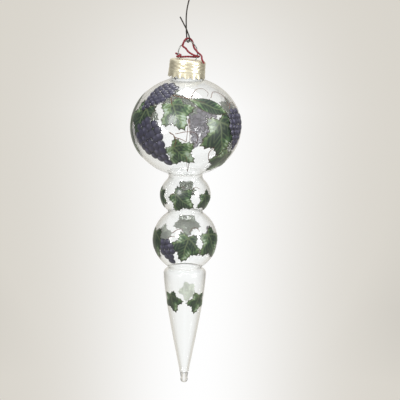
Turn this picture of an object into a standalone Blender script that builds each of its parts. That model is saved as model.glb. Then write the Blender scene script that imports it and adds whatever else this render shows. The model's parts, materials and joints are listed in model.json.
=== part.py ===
"""Blown-glass icicle ornament hanging from a wire hook, with vine-leaf and grape paper cut-outs.

Metres, +Z up. The origin is the inside top of the hook's crook, where the ornament hangs.
The front of the ornament faces -Y.
"""

from math import asin, atan2, cos, hypot, inf, pi, radians, sin, sqrt, tan

import bmesh
import bpy
import numpy as np
from mathutils import Matrix, Vector
from mathutils.geometry import interpolate_bezier

MOST_TURN = radians(24.0)  # between two steps of a wire
SAME_POINT = 0.000001  # points nearer than this are one

# Fits
CLEARANCE = 0.0003  # between pieces that touch
EYE_CLEARANCE = 0.00045  # between the eye and the bail, whose bends lean towards each other
LOOSE = 0.0009  # round the bail where it passes the cap's slots

# Wire hook
HOOK_WIRE_RADIUS = 0.0006
HOOK_HEIGHT = 0.0695  # crook's top to eye's bottom, on the wire's centre line
CROOK_RADIUS = 0.0085
CROOK_DROP = 0.019  # free end of the crook below its top
CROOK_LIP = 0.0020  # and turned outwards
SHAFT_SET = 0.0004  # shaft's foot set back, clear of the free end that crosses it in front
EYE_RADIUS = 0.0027
EYE_TURN = radians(-62.0)  # the eye's plane, turned from the crook's
EYE_END_HEIGHT = 0.022  # free end of the wire above the eye's bottom
EYE_END_REACH = 0.0071  # and out to the side

# Wire bail
BAIL_WIRE_RADIUS = 0.0005
BAIL_HEIGHT = 0.0169  # top of the loop above the cap
BAIL_HALF_WIDTH = 0.0086
BAIL_FOOT_HALF_WIDTH = 0.0072
BAIL_LEG_DEPTH = 0.019  # legs' ends below the cap's top

# Red cord, tied round the bail
CORD_RADIUS = 0.0009
LEFT_TURNS = 1.25  # of the cord round the bail's left foot
RIGHT_TURNS = 0.5  # and round its right foot
CORD_WRAP_GAP = 0.0007  # between the turns of a wrap
CORD_TAIL_ANGLE = radians(36.0)  # where its tail hangs over the cap's edge, from the right
CORD_TAIL_DROP = 0.0012  # below the edge

# Sheet-metal cap
CAP_RADIUS = 0.0162
CAP_HEIGHT = 0.0162
CAP_SHEET = 0.0004
CAP_EDGE_RADIUS = 0.0024
CAP_FLARE = 0.0003  # how much wider the skirt is at its rim
CAP_TILT = radians(4.6)  # it sits a little crooked on the neck
FLUTE_COUNT = 16
FLUTE_DEPTH = 0.00055
FLUTE_HEIGHT = 0.0062
SCALLOP_HEIGHT = 0.0013
SLOT_WIDTH = 0.0028

# Blown glass
GLASS_WALL = 0.0012
NECK_RADIUS = 0.0134
NECK_FLARE_HEIGHT = 0.0026  # of the soft bend from the neck into the globe
GLOBE_RADIUS = 0.0502
GLOBE_HALF_HEIGHT = 0.0450
UPPER_WAIST_RADIUS = 0.0155
UPPER_WAIST_LENGTH = 0.0047
SMALL_BALL_RADIUS = 0.0232
SMALL_BALL_HALF_HEIGHT = 0.0203
MIDDLE_WAIST_RADIUS = 0.0149
MIDDLE_WAIST_LENGTH = 0.0006
MIDDLE_BALL_RADIUS = 0.0298
LOWER_WAIST_RADIUS = 0.0144
LOWER_WAIST_LENGTH = 0.0012
ICICLE_RADIUS = 0.0198
ICICLE_SHOULDER = 0.0045  # height of its rounded shoulder
ICICLE_LENGTH = 0.1022  # shoulder to tip bead
ICICLE_TIP_RADIUS = 0.0031
SOLID_TIP_RADIUS = 0.0047  # the icicle is solid glass where it is slimmer than this
BEAD_RADIUS = 0.0036
BEAD_HALF_HEIGHT = 0.0035
WAIST_BLEND = 0.0009  # radius taken by the soft bend beside a waist
GLASS_SEGMENTS = 32

# Paper cut-outs
PAPER = 0.00025
PAPER_BOW = 0.00030  # a flat facet of paper comes this much nearer the glass than its corners
LAYER_STEP = PAPER + CLEARANCE + PAPER_BOW  # a cut-out pasted over another's edge
GLOBE_PRINT = 0.0200  # usual half length of a cut-out on the globe
SMALL_BALL_PRINT = 0.0130  # on the small ball
MIDDLE_BALL_PRINT = 0.0165  # on the larger ball
ICICLE_PRINT = 0.0122  # on the icicle

# Heights that follow from the sizes
CROOK_TOP = HOOK_WIRE_RADIUS
EYE_BOTTOM = CROOK_TOP - HOOK_HEIGHT
BAIL_TOP = EYE_BOTTOM + HOOK_WIRE_RADIUS + EYE_CLEARANCE + BAIL_WIRE_RADIUS
CAP_TOP = BAIL_TOP - BAIL_HEIGHT
CAP_LEAN = CAP_HEIGHT * sin(CAP_TILT)  # its tilt carries the top, and the bail, this far to +X
CAP_RIM = CAP_TOP - CAP_HEIGHT * cos(CAP_TILT)
SEAT_DROP = (CAP_RADIUS + CAP_FLARE) * sin(CAP_TILT) + CLEARANCE
NECK_TOP = CAP_TOP - CAP_SHEET - NECK_RADIUS * tan(CAP_TILT) - CLEARANCE


def meeting_height(half_width, half_height, radius):
    """Height above a belly's middle at which it has narrowed to a radius."""
    return half_height * sqrt(1.0 - (radius / half_width) ** 2)


GLOBE_MIDDLE = CAP_RIM - SEAT_DROP - meeting_height(GLOBE_RADIUS, GLOBE_HALF_HEIGHT, CAP_RADIUS)
UPPER_WAIST_TOP = GLOBE_MIDDLE - meeting_height(GLOBE_RADIUS, GLOBE_HALF_HEIGHT, UPPER_WAIST_RADIUS)
UPPER_WAIST_BOTTOM = UPPER_WAIST_TOP - UPPER_WAIST_LENGTH
SMALL_BALL_MIDDLE = UPPER_WAIST_BOTTOM - meeting_height(
    SMALL_BALL_RADIUS, SMALL_BALL_HALF_HEIGHT, UPPER_WAIST_RADIUS
)
MIDDLE_WAIST_TOP = SMALL_BALL_MIDDLE - meeting_height(
    SMALL_BALL_RADIUS, SMALL_BALL_HALF_HEIGHT, MIDDLE_WAIST_RADIUS
)
MIDDLE_WAIST_BOTTOM = MIDDLE_WAIST_TOP - MIDDLE_WAIST_LENGTH
MIDDLE_BALL_MIDDLE = MIDDLE_WAIST_BOTTOM - meeting_height(
    MIDDLE_BALL_RADIUS, MIDDLE_BALL_RADIUS, MIDDLE_WAIST_RADIUS
)
LOWER_WAIST_TOP = MIDDLE_BALL_MIDDLE - meeting_height(
    MIDDLE_BALL_RADIUS, MIDDLE_BALL_RADIUS, LOWER_WAIST_RADIUS
)
LOWER_WAIST_BOTTOM = LOWER_WAIST_TOP - LOWER_WAIST_LENGTH
ICICLE_TOP = LOWER_WAIST_BOTTOM - ICICLE_SHOULDER
ICICLE_END = ICICLE_TOP - ICICLE_LENGTH


# ---------------------------------------------------------------- scene and materials


def clear_scene():
    for old in list(bpy.data.objects):
        bpy.data.objects.remove(old, do_unlink=True)


def new_collection(name):
    made = bpy.data.collections.new(name)
    bpy.context.scene.collection.children.link(made)
    return made


def material(name, colour, roughness, metallic=0.0, transmission=0.0):
    made = bpy.data.materials.new(name)
    made.use_nodes = True
    shader = made.node_tree.nodes["Principled BSDF"]
    shader.inputs["Base Color"].default_value = (*colour, 1.0)
    shader.inputs["Roughness"].default_value = roughness
    shader.inputs["Metallic"].default_value = metallic
    shader.inputs["Transmission Weight"].default_value = transmission
    made.diffuse_color = (*colour, 0.35 if transmission else 1.0)
    return made


def place(made, parent, collection):
    """Put an object in a collection, under the empty on its joint's axis."""
    collection.objects.link(made)
    if parent is not None:
        made.parent = parent
        made.matrix_parent_inverse = parent.matrix_world.inverted()
    return made


def joint_empty(name, location, parent, collection):
    empty = bpy.data.objects.new(name, None)
    empty.empty_display_size = 0.01
    collection.objects.link(empty)
    empty.matrix_world = Matrix.Translation(location)
    if parent is not None:
        empty.parent = parent
        empty.matrix_parent_inverse = parent.matrix_world.inverted()
    bpy.context.view_layer.update()
    return empty


# ---------------------------------------------------------------- wires and cord


def smooth_route(points, spacing):
    """Points along a smooth curve through a route's own points.

    Between two route points the curve is a cubic whose end slopes come from their neighbours.
    A step is at most one spacing long and turns by at most MOST_TURN.
    """
    route = [Vector(point) for point in points]
    ends = [2 * route[0] - route[1], *route, 2 * route[-1] - route[-2]]
    fine = []
    for before, start, end, after in zip(ends, ends[1:], ends[2:], ends[3:]):
        span = (end - start).length
        leave = (end - before).normalized() * span / 3
        arrive = (after - start).normalized() * span / 3
        fine.extend(interpolate_bezier(start, start + leave, end - arrive, end, 13)[:-1])
    fine.append(route[-1])
    fine = np.array(fine)
    runs = np.diff(fine, axis=0)
    lengths = np.linalg.norm(runs, axis=1)
    ways = runs / lengths[:, None]
    turns = np.arccos(np.clip((ways[1:] * ways[:-1]).sum(axis=1), -1.0, 1.0))
    turning = np.concatenate([[0.0], turns]) + np.concatenate([turns, [0.0]])
    steps = np.maximum(lengths / spacing, 0.5 * turning / MOST_TURN)
    along = np.concatenate([[0.0], np.cumsum(steps)])
    count = max(2, round(along[-1]))
    wanted = np.linspace(0.0, along[-1], count + 1)
    return np.stack([np.interp(wanted, along, fine[:, axis]) for axis in range(3)], axis=1)


def tube(name, points, radius, finish, parent, collection, sides=2):
    """A wire or cord: a round section carried along a line of points, with flat ends."""
    curve = bpy.data.curves.new(name, "CURVE")
    curve.dimensions = "3D"
    curve.bevel_depth = radius
    curve.bevel_resolution = sides
    curve.use_fill_caps = True
    line = curve.splines.new("POLY")
    line.points.add(len(points) - 1)
    for slot, point in zip(line.points, points):
        slot.co = (*point, 1.0)
    line.use_smooth = True
    curve.materials.append(finish)
    return place(bpy.data.objects.new(name, curve), parent, collection)


def hook_route():
    """The hook's centre line, from the crook's free end down the shaft and round the eye."""
    crook_middle = CROOK_TOP - CROOK_RADIUS
    route = [
        (-CROOK_RADIUS - CROOK_LIP, 0.0, CROOK_TOP - CROOK_DROP),
        (-CROOK_RADIUS - 0.15 * CROOK_LIP, 0.0, CROOK_TOP - 0.78 * CROOK_DROP),
    ]
    for step in range(5):
        angle = pi - step * pi / 4
        route.append((CROOK_RADIUS * cos(angle), 0.0, crook_middle + CROOK_RADIUS * sin(angle)))
    shaft = EYE_BOTTOM + HOOK_HEIGHT - CROOK_RADIUS
    straight = shaft - (EYE_BOTTOM + 4 * EYE_RADIUS)
    route += [
        (0.70 * CROOK_RADIUS, 0.0, shaft - 0.25 * straight),
        (0.20 * CROOK_RADIUS, 0.0, shaft - 0.49 * straight),
        (-0.04 * CROOK_RADIUS, 0.25 * SHAFT_SET, shaft - 0.72 * straight),
        (-0.04 * CROOK_RADIUS, SHAFT_SET, shaft - straight),
    ]
    across = Vector((cos(EYE_TURN), sin(EYE_TURN), 0.0))
    eye_middle = Vector((CAP_LEAN, 0.0, EYE_BOTTOM + EYE_RADIUS))
    route.append(eye_middle - 1.02 * EYE_RADIUS * across + Vector((0.0, 0.0, 0.8 * EYE_RADIUS)))
    for step in range(5):
        angle = pi + step * pi / 4
        spot = eye_middle + EYE_RADIUS * cos(angle) * across
        route.append(spot + Vector((0.0, 0.0, EYE_RADIUS * sin(angle))))
    front = -(2 * HOOK_WIRE_RADIUS + 2 * CLEARANCE)
    rise = EYE_END_HEIGHT - 2 * EYE_RADIUS
    for share, reach in ((0.0, 0.12), (0.16, -0.03), (0.35, -0.20), (0.66, -0.57), (1.0, -1.0)):
        depth = front if share else front + sin(EYE_TURN) * EYE_RADIUS * 0.35
        side = CAP_LEAN + reach * EYE_END_REACH
        route.append((side, depth, EYE_BOTTOM + 2 * EYE_RADIUS + share * rise))
    return route


def bail_side(side):
    """Half of the bail's centre line, from near its top down to the end of one leg."""
    grip = NECK_RADIUS - GLASS_WALL - CLEARANCE - BAIL_WIRE_RADIUS
    loop = [
        (0.37 * BAIL_HALF_WIDTH, 0.92 * BAIL_HEIGHT),
        (0.69 * BAIL_HALF_WIDTH, 0.76 * BAIL_HEIGHT),
        (0.92 * BAIL_HALF_WIDTH, 0.57 * BAIL_HEIGHT),
        (BAIL_HALF_WIDTH, 0.37 * BAIL_HEIGHT),
        (0.513 * (BAIL_HALF_WIDTH + BAIL_FOOT_HALF_WIDTH), 0.18 * BAIL_HEIGHT),
        (BAIL_FOOT_HALF_WIDTH, 0.0),
        (BAIL_FOOT_HALF_WIDTH, -0.16 * BAIL_LEG_DEPTH),
    ]
    points = [(CAP_LEAN + side * out, 0.0, CAP_TOP + up) for out, up in loop]
    middle = 0.5 * (side * BAIL_FOOT_HALF_WIDTH + CAP_LEAN + side * grip)
    points += [
        (middle, 0.0, CAP_TOP - 0.36 * BAIL_LEG_DEPTH),
        (side * grip, 0.0, CAP_TOP - 0.62 * BAIL_LEG_DEPTH),
        (side * 0.96 * grip, 0.0, CAP_TOP - 0.80 * BAIL_LEG_DEPTH),
        (side * 0.86 * grip, 0.0, CAP_TOP - BAIL_LEG_DEPTH),
    ]
    return points


def bail_route():
    return bail_side(-1)[::-1] + [(CAP_LEAN, 0.0, BAIL_TOP)] + bail_side(1)


CORD_OFFSET = BAIL_WIRE_RADIUS + 1.5 * CLEARANCE + CORD_RADIUS  # cord's centre from the bail's
CORD_END = 2 * CORD_RADIUS  # straight run at the end of a wrap
WRAP_PITCH = 2 * CORD_RADIUS + CORD_WRAP_GAP
WRAP_BOTTOM = CORD_RADIUS + CLEARANCE + 1.4 * BAIL_FOOT_HALF_WIDTH * tan(CAP_TILT)
BACK = 0.5 * pi  # angle round a foot that faces away from the front


def foot_middle(side, height):
    """X of the bail's foot at a height above the cap."""
    widen = BAIL_HALF_WIDTH - BAIL_FOOT_HALF_WIDTH
    share = min(1.0, height / (0.37 * BAIL_HEIGHT))
    return CAP_LEAN + side * (BAIL_FOOT_HALF_WIDTH + widen * sin(0.5 * pi * share))


def wrap_points(side, first_angle, turns, first_height, last_height):
    """A wrap of the cord round a foot of the bail, with a short straight run at each end.

    It is a helix: the angle falls by its turns while the height goes from first to last.
    """
    count = round(24 * turns)
    points = []
    for share in np.linspace(0.0, 1.0, count + 1):
        angle = first_angle - 2 * pi * turns * share
        height = first_height + (last_height - first_height) * share
        middle = foot_middle(side, height)
        points.append(
            Vector(
                (middle + CORD_OFFSET * cos(angle), CORD_OFFSET * sin(angle), CAP_TOP + height)
            )
        )
    start = points[0] + (points[0] - points[1]).normalized() * CORD_END
    end = points[-1] + (points[-1] - points[-2]).normalized() * CORD_END
    return [start, *points, end]


def left_wrap():
    """From the cord's tucked end down the left foot, leaving behind it towards the right."""
    top = WRAP_BOTTOM + LEFT_TURNS * WRAP_PITCH
    return wrap_points(-1, BACK + 2 * pi * LEFT_TURNS, LEFT_TURNS, top, WRAP_BOTTOM)


def right_wrap():
    """Round the right foot from behind to the front, where the cord turns back and up."""
    top = WRAP_BOTTOM + RIGHT_TURNS * WRAP_PITCH
    return wrap_points(1, BACK, RIGHT_TURNS, WRAP_BOTTOM, top)


def strand_route():
    """Behind the loop from one wrap to the other, bowed up a little."""
    start, end = left_wrap()[-1], right_wrap()[0]
    gap = Vector((CLEARANCE, 0.0, 0.0))
    middle = 0.5 * (start + end) + Vector((0.0, -0.3 * CORD_RADIUS, 0.5 * CORD_RADIUS))
    return [start + gap, start + 3 * gap, middle, end - 3 * gap, end - gap]


def twist_route(line, first_angle, last_angle, count):
    """The cord's centre while it twists round the bail.

    It keeps CORD_OFFSET from the bail's line, at an angle that goes evenly from first to
    last, where 0 is the loop's outer side and a right angle its front.
    """
    points = []
    for share in np.linspace(0.0, 1.0, count):
        index = round(share * (len(line) - 1))
        run = Vector(line[min(index + 1, len(line) - 1)]) - Vector(line[max(index - 1, 0)])
        run.normalize()
        outward = Vector((-run.z, 0.0, run.x))
        angle = first_angle + (last_angle - first_angle) * share
        offset = outward * cos(angle) + Vector((0.0, -sin(angle), 0.0))
        points.append(Vector(line[index]) + CORD_OFFSET * offset)
    return points


def loop_route():
    """From the right wrap up across the loop, over its top, down its right side to the tail."""
    wrap = right_wrap()
    leave = (wrap[-1] - wrap[-2]).normalized()
    start = wrap[-1] + leave * CLEARANCE
    front = -1.08 * CORD_OFFSET
    route = [
        start,
        start + leave * 0.5 * CORD_END,
        (CAP_LEAN + 0.06 * BAIL_HALF_WIDTH, front, CAP_TOP + 0.40 * BAIL_HEIGHT),
        (CAP_LEAN - 0.26 * BAIL_HALF_WIDTH, front, CAP_TOP + 0.60 * BAIL_HEIGHT),
    ]
    line = smooth_route(bail_route(), 0.02 * BAIL_HEIGHT)
    from_left = line[:, 0] > CAP_LEAN - 0.72 * BAIL_HALF_WIDTH
    above_foot = line[:, 2] > CAP_TOP + 0.38 * BAIL_HEIGHT
    route += twist_route(line[from_left & above_foot], 0.8 * pi, -1.5 * pi, 14)
    out = cos(CORD_TAIL_ANGLE) * CAP_RADIUS
    ahead = -sin(CORD_TAIL_ANGLE) * CAP_RADIUS
    edge = CAP_TOP - out * tan(CAP_TILT)
    beside_wrap = BAIL_FOOT_HALF_WIDTH + CORD_OFFSET + 2.4 * CORD_RADIUS
    over = 1.0 + 1.3 * CORD_RADIUS / CAP_RADIUS
    route += [
        (CAP_LEAN + beside_wrap, 0.1 * ahead, CAP_TOP + 0.25 * BAIL_HEIGHT),
        (CAP_LEAN + 0.5 * (beside_wrap + out), 0.45 * ahead, edge + 4.4 * CORD_RADIUS),
        (CAP_LEAN + 0.94 * out, 0.82 * ahead, edge + 2.4 * CORD_RADIUS),
        (CAP_LEAN + out, over * ahead, edge + 0.4 * CORD_RADIUS),
        (CAP_LEAN + over * out, over * ahead, edge - CORD_TAIL_DROP),
    ]
    return route


def least_gap(points, radius):
    """Least gap between stretches of one tube that are over a turn's third apart along it."""
    line = np.array(points)
    apart = np.linalg.norm(line[:, None] - line[None], axis=2)
    along = np.concatenate([[0.0], np.cumsum(np.linalg.norm(np.diff(line, axis=0), axis=1))])
    far = np.abs(along[:, None] - along[None]) > 2.2 * CORD_OFFSET
    return apart[far].min() - 2 * radius


# ---------------------------------------------------------------- cap


def cap_profile():
    """Cap's outer side from the middle of its top, over the round edge, down to the rim."""
    points = [(0.0, CAP_HEIGHT), (0.45 * CAP_RADIUS, CAP_HEIGHT)]
    middle = CAP_RADIUS - CAP_EDGE_RADIUS
    for step in range(4):
        angle = step * pi / 6
        points.append(
            (
                middle + CAP_EDGE_RADIUS * sin(angle),
                CAP_HEIGHT - CAP_EDGE_RADIUS * (1 - cos(angle)),
            )
        )
    for share in (1.0, 0.66, 0.33, 0.0):
        height = share * FLUTE_HEIGHT
        points.append((CAP_RADIUS + CAP_FLARE * (1 - height / CAP_HEIGHT), height))
    return points


def turned(name, profile, steps, closed=False):
    """A mesh turned round Z from a profile of (radius, height) points at +X.

    A closed profile, whose last point joins its first, makes a ring.
    """
    mesh = bpy.data.meshes.new(name)
    edges = [(step, step + 1) for step in range(len(profile) - 1)]
    if closed:
        edges.append((len(profile) - 1, 0))
    mesh.from_pydata([(radius, 0.0, height) for radius, height in profile], edges, [])
    made = bpy.data.objects.new(name, mesh)
    screw = made.modifiers.new("turn", "SCREW")
    screw.axis = "Z"
    screw.angle = 2 * pi
    screw.steps = steps
    screw.render_steps = steps
    screw.use_merge_vertices = True
    screw.merge_threshold = 10 * SAME_POINT
    screw.use_smooth_shade = True
    return made


def applied_mesh(made, collection):
    """A plain mesh of an object's modifiers, with the object itself taken away."""
    collection.objects.link(made)
    bpy.context.view_layer.update()
    evaluated = made.evaluated_get(bpy.context.evaluated_depsgraph_get())
    mesh = bpy.data.meshes.new_from_object(evaluated)
    mesh.name = made.name
    bpy.data.objects.remove(made)
    return mesh


def flute_cap(mesh):
    """Press the flutes into the skirt and scallop its rim.

    Below FLUTE_HEIGHT the wall swells by a cosine round the cap, more towards the rim, and
    the rim rises between the swells.
    """
    for vertex in mesh.vertices:
        x, y, z = vertex.co
        if z >= FLUTE_HEIGHT - SAME_POINT:
            continue
        share = 1.0 - z / FLUTE_HEIGHT
        wave = 0.5 + 0.5 * cos(FLUTE_COUNT * atan2(y, x))
        grow = 1.0 + FLUTE_DEPTH * share * (wave - 0.5) / hypot(x, y)
        vertex.co = (x * grow, y * grow, z + SCALLOP_HEIGHT * share**2 * (1.0 - wave))


def slot_cutter(name, side, tilt_frame, collection):
    """A rounded bar through the cap's top where a foot of the bail passes."""
    length = BAIL_HALF_WIDTH - BAIL_FOOT_HALF_WIDTH + 2 * (BAIL_WIRE_RADIUS + LOOSE)
    mesh = bpy.data.meshes.new(name)
    bar = bmesh.new()
    bmesh.ops.create_cube(bar, size=1.0)
    bmesh.ops.scale(bar, vec=(length, SLOT_WIDTH, 8 * CAP_SHEET), verts=bar.verts)
    upright = [
        edge
        for edge in bar.edges
        if abs(edge.verts[0].co.z - edge.verts[1].co.z) > SAME_POINT
    ]
    bmesh.ops.bevel(
        bar, geom=upright, offset=0.4 * SLOT_WIDTH, segments=3, affect="EDGES", profile=0.5
    )
    bar.to_mesh(mesh)
    bar.free()
    cutter = bpy.data.objects.new(name, mesh)
    cutter.hide_render = True
    cutter.display_type = "WIRE"
    collection.objects.link(cutter)
    middle = side * 0.5 * (BAIL_HALF_WIDTH + BAIL_FOOT_HALF_WIDTH)
    cutter.matrix_world = tilt_frame @ Matrix.Translation((middle, 0.0, CAP_HEIGHT))
    return cutter


def build_cap(finish, parent, collection, cutters):
    mesh = applied_mesh(turned("cap", cap_profile(), FLUTE_COUNT * 4), collection)
    weld = bmesh.new()
    weld.from_mesh(mesh)
    bmesh.ops.remove_doubles(weld, verts=weld.verts, dist=SAME_POINT)
    bmesh.ops.recalc_face_normals(weld, faces=weld.faces)
    weld.to_mesh(mesh)
    weld.free()
    flute_cap(mesh)
    mesh.materials.append(finish)
    cap = bpy.data.objects.new("cap", mesh)
    collection.objects.link(cap)
    frame = Matrix.Translation((0.0, 0.0, CAP_RIM)) @ Matrix.Rotation(CAP_TILT, 4, "Y")
    cap.matrix_world = frame
    cap.parent = parent
    cap.matrix_parent_inverse = parent.matrix_world.inverted()
    sheet = cap.modifiers.new("sheet", "SOLIDIFY")
    sheet.thickness = CAP_SHEET
    sheet.offset = -1.0
    for side, word in ((-1, "left"), (1, "right")):
        slot = cap.modifiers.new(f"{word}_slot", "BOOLEAN")
        slot.operation = "DIFFERENCE"
        slot.solver = "EXACT"
        slot.object = slot_cutter(f"{word}_slot_cutter", side, frame, cutters)
    return cap


# ---------------------------------------------------------------- glass


def belly(middle, half_width, half_height, top_radius, bottom_radius, count):
    """Points down an oval belly, from one radius above its middle to another below it."""
    first = asin(top_radius / half_width)
    last = pi - asin(bottom_radius / half_width)
    angles = np.linspace(first, last, count)
    return [(half_width * sin(a), middle + half_height * cos(a)) for a in angles]


def glass_outline():
    """Outer side of the glass, from the neck's lip to the tip bead, as (radius, height)."""
    shoulder = GLOBE_MIDDLE + meeting_height(GLOBE_RADIUS, GLOBE_HALF_HEIGHT, CAP_RADIUS)
    points = [
        (NECK_RADIUS - 0.3 * GLASS_WALL, NECK_TOP),
        (NECK_RADIUS, NECK_TOP - 0.3 * GLASS_WALL),
        (NECK_RADIUS, shoulder + NECK_FLARE_HEIGHT),
        (NECK_RADIUS + 0.2 * (CAP_RADIUS - NECK_RADIUS), shoulder + 0.5 * NECK_FLARE_HEIGHT),
    ]
    blend = WAIST_BLEND
    points += belly(
        GLOBE_MIDDLE,
        GLOBE_RADIUS,
        GLOBE_HALF_HEIGHT,
        NECK_RADIUS + 0.6 * (CAP_RADIUS - NECK_RADIUS),
        UPPER_WAIST_RADIUS + blend,
        15,
    )
    points += [
        (UPPER_WAIST_RADIUS, UPPER_WAIST_TOP - 0.25 * UPPER_WAIST_LENGTH),
        (UPPER_WAIST_RADIUS, UPPER_WAIST_BOTTOM + 0.25 * UPPER_WAIST_LENGTH),
    ]
    points += belly(
        SMALL_BALL_MIDDLE,
        SMALL_BALL_RADIUS,
        SMALL_BALL_HALF_HEIGHT,
        UPPER_WAIST_RADIUS + blend,
        MIDDLE_WAIST_RADIUS + blend,
        8,
    )
    points.append((MIDDLE_WAIST_RADIUS, MIDDLE_WAIST_TOP - 0.5 * MIDDLE_WAIST_LENGTH))
    points += belly(
        MIDDLE_BALL_MIDDLE,
        MIDDLE_BALL_RADIUS,
        MIDDLE_BALL_RADIUS,
        MIDDLE_WAIST_RADIUS + blend,
        LOWER_WAIST_RADIUS + blend,
        10,
    )
    points.append((LOWER_WAIST_RADIUS, LOWER_WAIST_TOP - 0.5 * LOWER_WAIST_LENGTH))
    for step in range(1, 5):
        angle = step * pi / 8
        points.append(
            (
                LOWER_WAIST_RADIUS + (ICICLE_RADIUS - LOWER_WAIST_RADIUS) * sin(angle),
                ICICLE_TOP + ICICLE_SHOULDER * cos(angle),
            )
        )
    taper = interpolate_bezier(
        Vector((ICICLE_RADIUS, ICICLE_TOP, 0.0)),
        Vector((0.93 * ICICLE_RADIUS, ICICLE_TOP - 0.25 * ICICLE_LENGTH, 0.0)),
        Vector((0.57 * ICICLE_RADIUS, ICICLE_TOP - 0.58 * ICICLE_LENGTH, 0.0)),
        Vector((ICICLE_TIP_RADIUS, ICICLE_END, 0.0)),
        7,
    )
    points += [(spot.x, spot.y) for spot in taper[1:]]
    bead_top = sqrt(1.0 - min(0.99, ICICLE_TIP_RADIUS / BEAD_RADIUS) ** 2) * BEAD_HALF_HEIGHT
    bead_middle = ICICLE_END - bead_top
    for degrees in (90, 125, 155):
        points.append(
            (
                BEAD_RADIUS * sin(radians(degrees)),
                bead_middle + BEAD_HALF_HEIGHT * cos(radians(degrees)),
            )
        )
    points.append((0.0, bead_middle - BEAD_HALF_HEIGHT))
    return points


def outward_normals(outline):
    """Unit normals of an outline of (radius, height) points that runs downwards."""
    line = np.array(outline)
    run = np.gradient(line, axis=0)
    normals = np.stack([-run[:, 1], run[:, 0]], axis=1)
    return normals / np.linalg.norm(normals, axis=1)[:, None]


def stretch_of(line, upper, lower):
    """The part of a downward line between two heights, with its points at both."""
    radii, heights = line.T
    points = [tuple(point) for point in line if lower < point[1] < upper]
    if upper < heights[0]:
        points.insert(0, (np.interp(-upper, -heights, radii), upper))
    if lower > heights[-1]:
        points.append((np.interp(-lower, -heights, radii), lower))
    return points


def build_glass(finish, parent, collection):
    """The blown glass: hollow from the neck's mouth to near the tip, which is solid.

    It is one piece, modelled in four stretches that part at the middle of each waist.
    """
    outside = np.array(glass_outline())
    inside = outside - GLASS_WALL * outward_normals(outside)
    hollow = (outside[:, 0] > SOLID_TIP_RADIUS) | (outside[:, 1] > ICICLE_TOP)
    bore = inside[hollow][2:]
    radius, level = bore[-1]
    lip_top = (NECK_RADIUS - 0.7 * GLASS_WALL, NECK_TOP)
    lip = (NECK_RADIUS - GLASS_WALL, NECK_TOP - 0.3 * GLASS_WALL)
    pit = [(0.7 * radius, level - 0.6 * radius), (0.0, level - 0.9 * radius)]
    inside = np.vstack([lip_top, lip, bore, pit])
    cuts = [
        inf,
        0.5 * (UPPER_WAIST_TOP + UPPER_WAIST_BOTTOM),
        0.5 * (MIDDLE_WAIST_TOP + MIDDLE_WAIST_BOTTOM),
        0.5 * (LOWER_WAIST_TOP + LOWER_WAIST_BOTTOM),
        -inf,
    ]
    names = ("glass_globe", "glass_small_ball", "glass_middle_ball", "glass_icicle")
    for name, above, below in zip(names, cuts, cuts[1:]):
        upper, lower = above - 0.5 * CLEARANCE, below + 0.5 * CLEARANCE
        profile = stretch_of(inside, upper, lower)[::-1] + stretch_of(outside, upper, lower)
        glass = turned(name, profile, GLASS_SEGMENTS, closed=lower > -inf)
        glass.data.materials.append(finish)
        place(glass, parent, collection)


# ---------------------------------------------------------------- paper cut-outs


def vine_leaf(angle):
    """Outline of a five-lobed leaf: a circle with five swells, longest at the tip."""
    return (0.82 + 0.18 * cos(5 * angle)) * (0.92 + 0.14 * cos(angle))


def blade_leaf(angle):
    """Outline of a narrow pointed leaf: two parabolas that meet at its ends."""
    width = 0.36
    across, along = abs(sin(angle)), abs(cos(angle))
    bend = width * along**2
    if bend < SAME_POINT:
        return width / across
    return (sqrt(across**2 + 4 * width * bend) - across) / (2 * bend)


def bunch_berries(rows):
    """Middles of the berries of a bunch: rows that shift by half a berry, wide at the top."""
    berry = 1.0 / (len(rows) * 0.86 + 0.14)
    middles = []
    for row, count in enumerate(rows):
        along = -1.0 + berry + row * 1.72 * berry
        for place_in_row in range(count):
            middles.append((along, (place_in_row - 0.5 * (count - 1)) * 1.9 * berry))
    return middles, berry


def grape_bunch(angle, rows=(3, 4, 3, 2, 1)):
    """Outline of a bunch: the furthest point of its round berries in each direction."""
    middles, berry = bunch_berries(rows)
    reach = 0.0
    for along, across in middles:
        towards = along * cos(angle) + across * sin(angle)
        aside = along**2 + across**2 - towards**2
        if aside < berry**2:
            reach = max(reach, towards + sqrt(berry**2 - aside))
    return reach


def glass_surface():
    """The glass's outer side as arrays: distance down the outline, radius, height, normals."""
    line = np.array(glass_outline())
    along = np.concatenate([[0.0], np.cumsum(np.linalg.norm(np.diff(line, axis=0), axis=1))])
    return along, line[:, 0], line[:, 1], outward_normals(line)


def on_glass(surface, azimuth, height, right, up, lift):
    """The point a distance right and up from a place on the glass, lifted off it.

    Right is measured round the glass and up along its outline, so a shape keeps its size.
    """
    along, radii, heights, normals = surface
    start = np.interp(-height, -heights, along)
    spot = start - up
    radius = np.interp(spot, along, radii)
    level = np.interp(spot, along, heights)
    normal_out = np.interp(spot, along, normals[:, 0])
    normal_up = np.interp(spot, along, normals[:, 1])
    angle = azimuth + right / radius
    reach = radius + lift * normal_out
    return (reach * sin(angle), -reach * cos(angle), level + lift * normal_up)


SHAPES = {
    # shape: (outline, points round it, rings)
    "leaf": (vine_leaf, 20, 3),
    "small_leaf": (vine_leaf, 20, 3),
    "blade": (blade_leaf, 16, 3),
    "bunch": (grape_bunch, 24, 3),
    "small_bunch": (grape_bunch, 20, 2),
}

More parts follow.
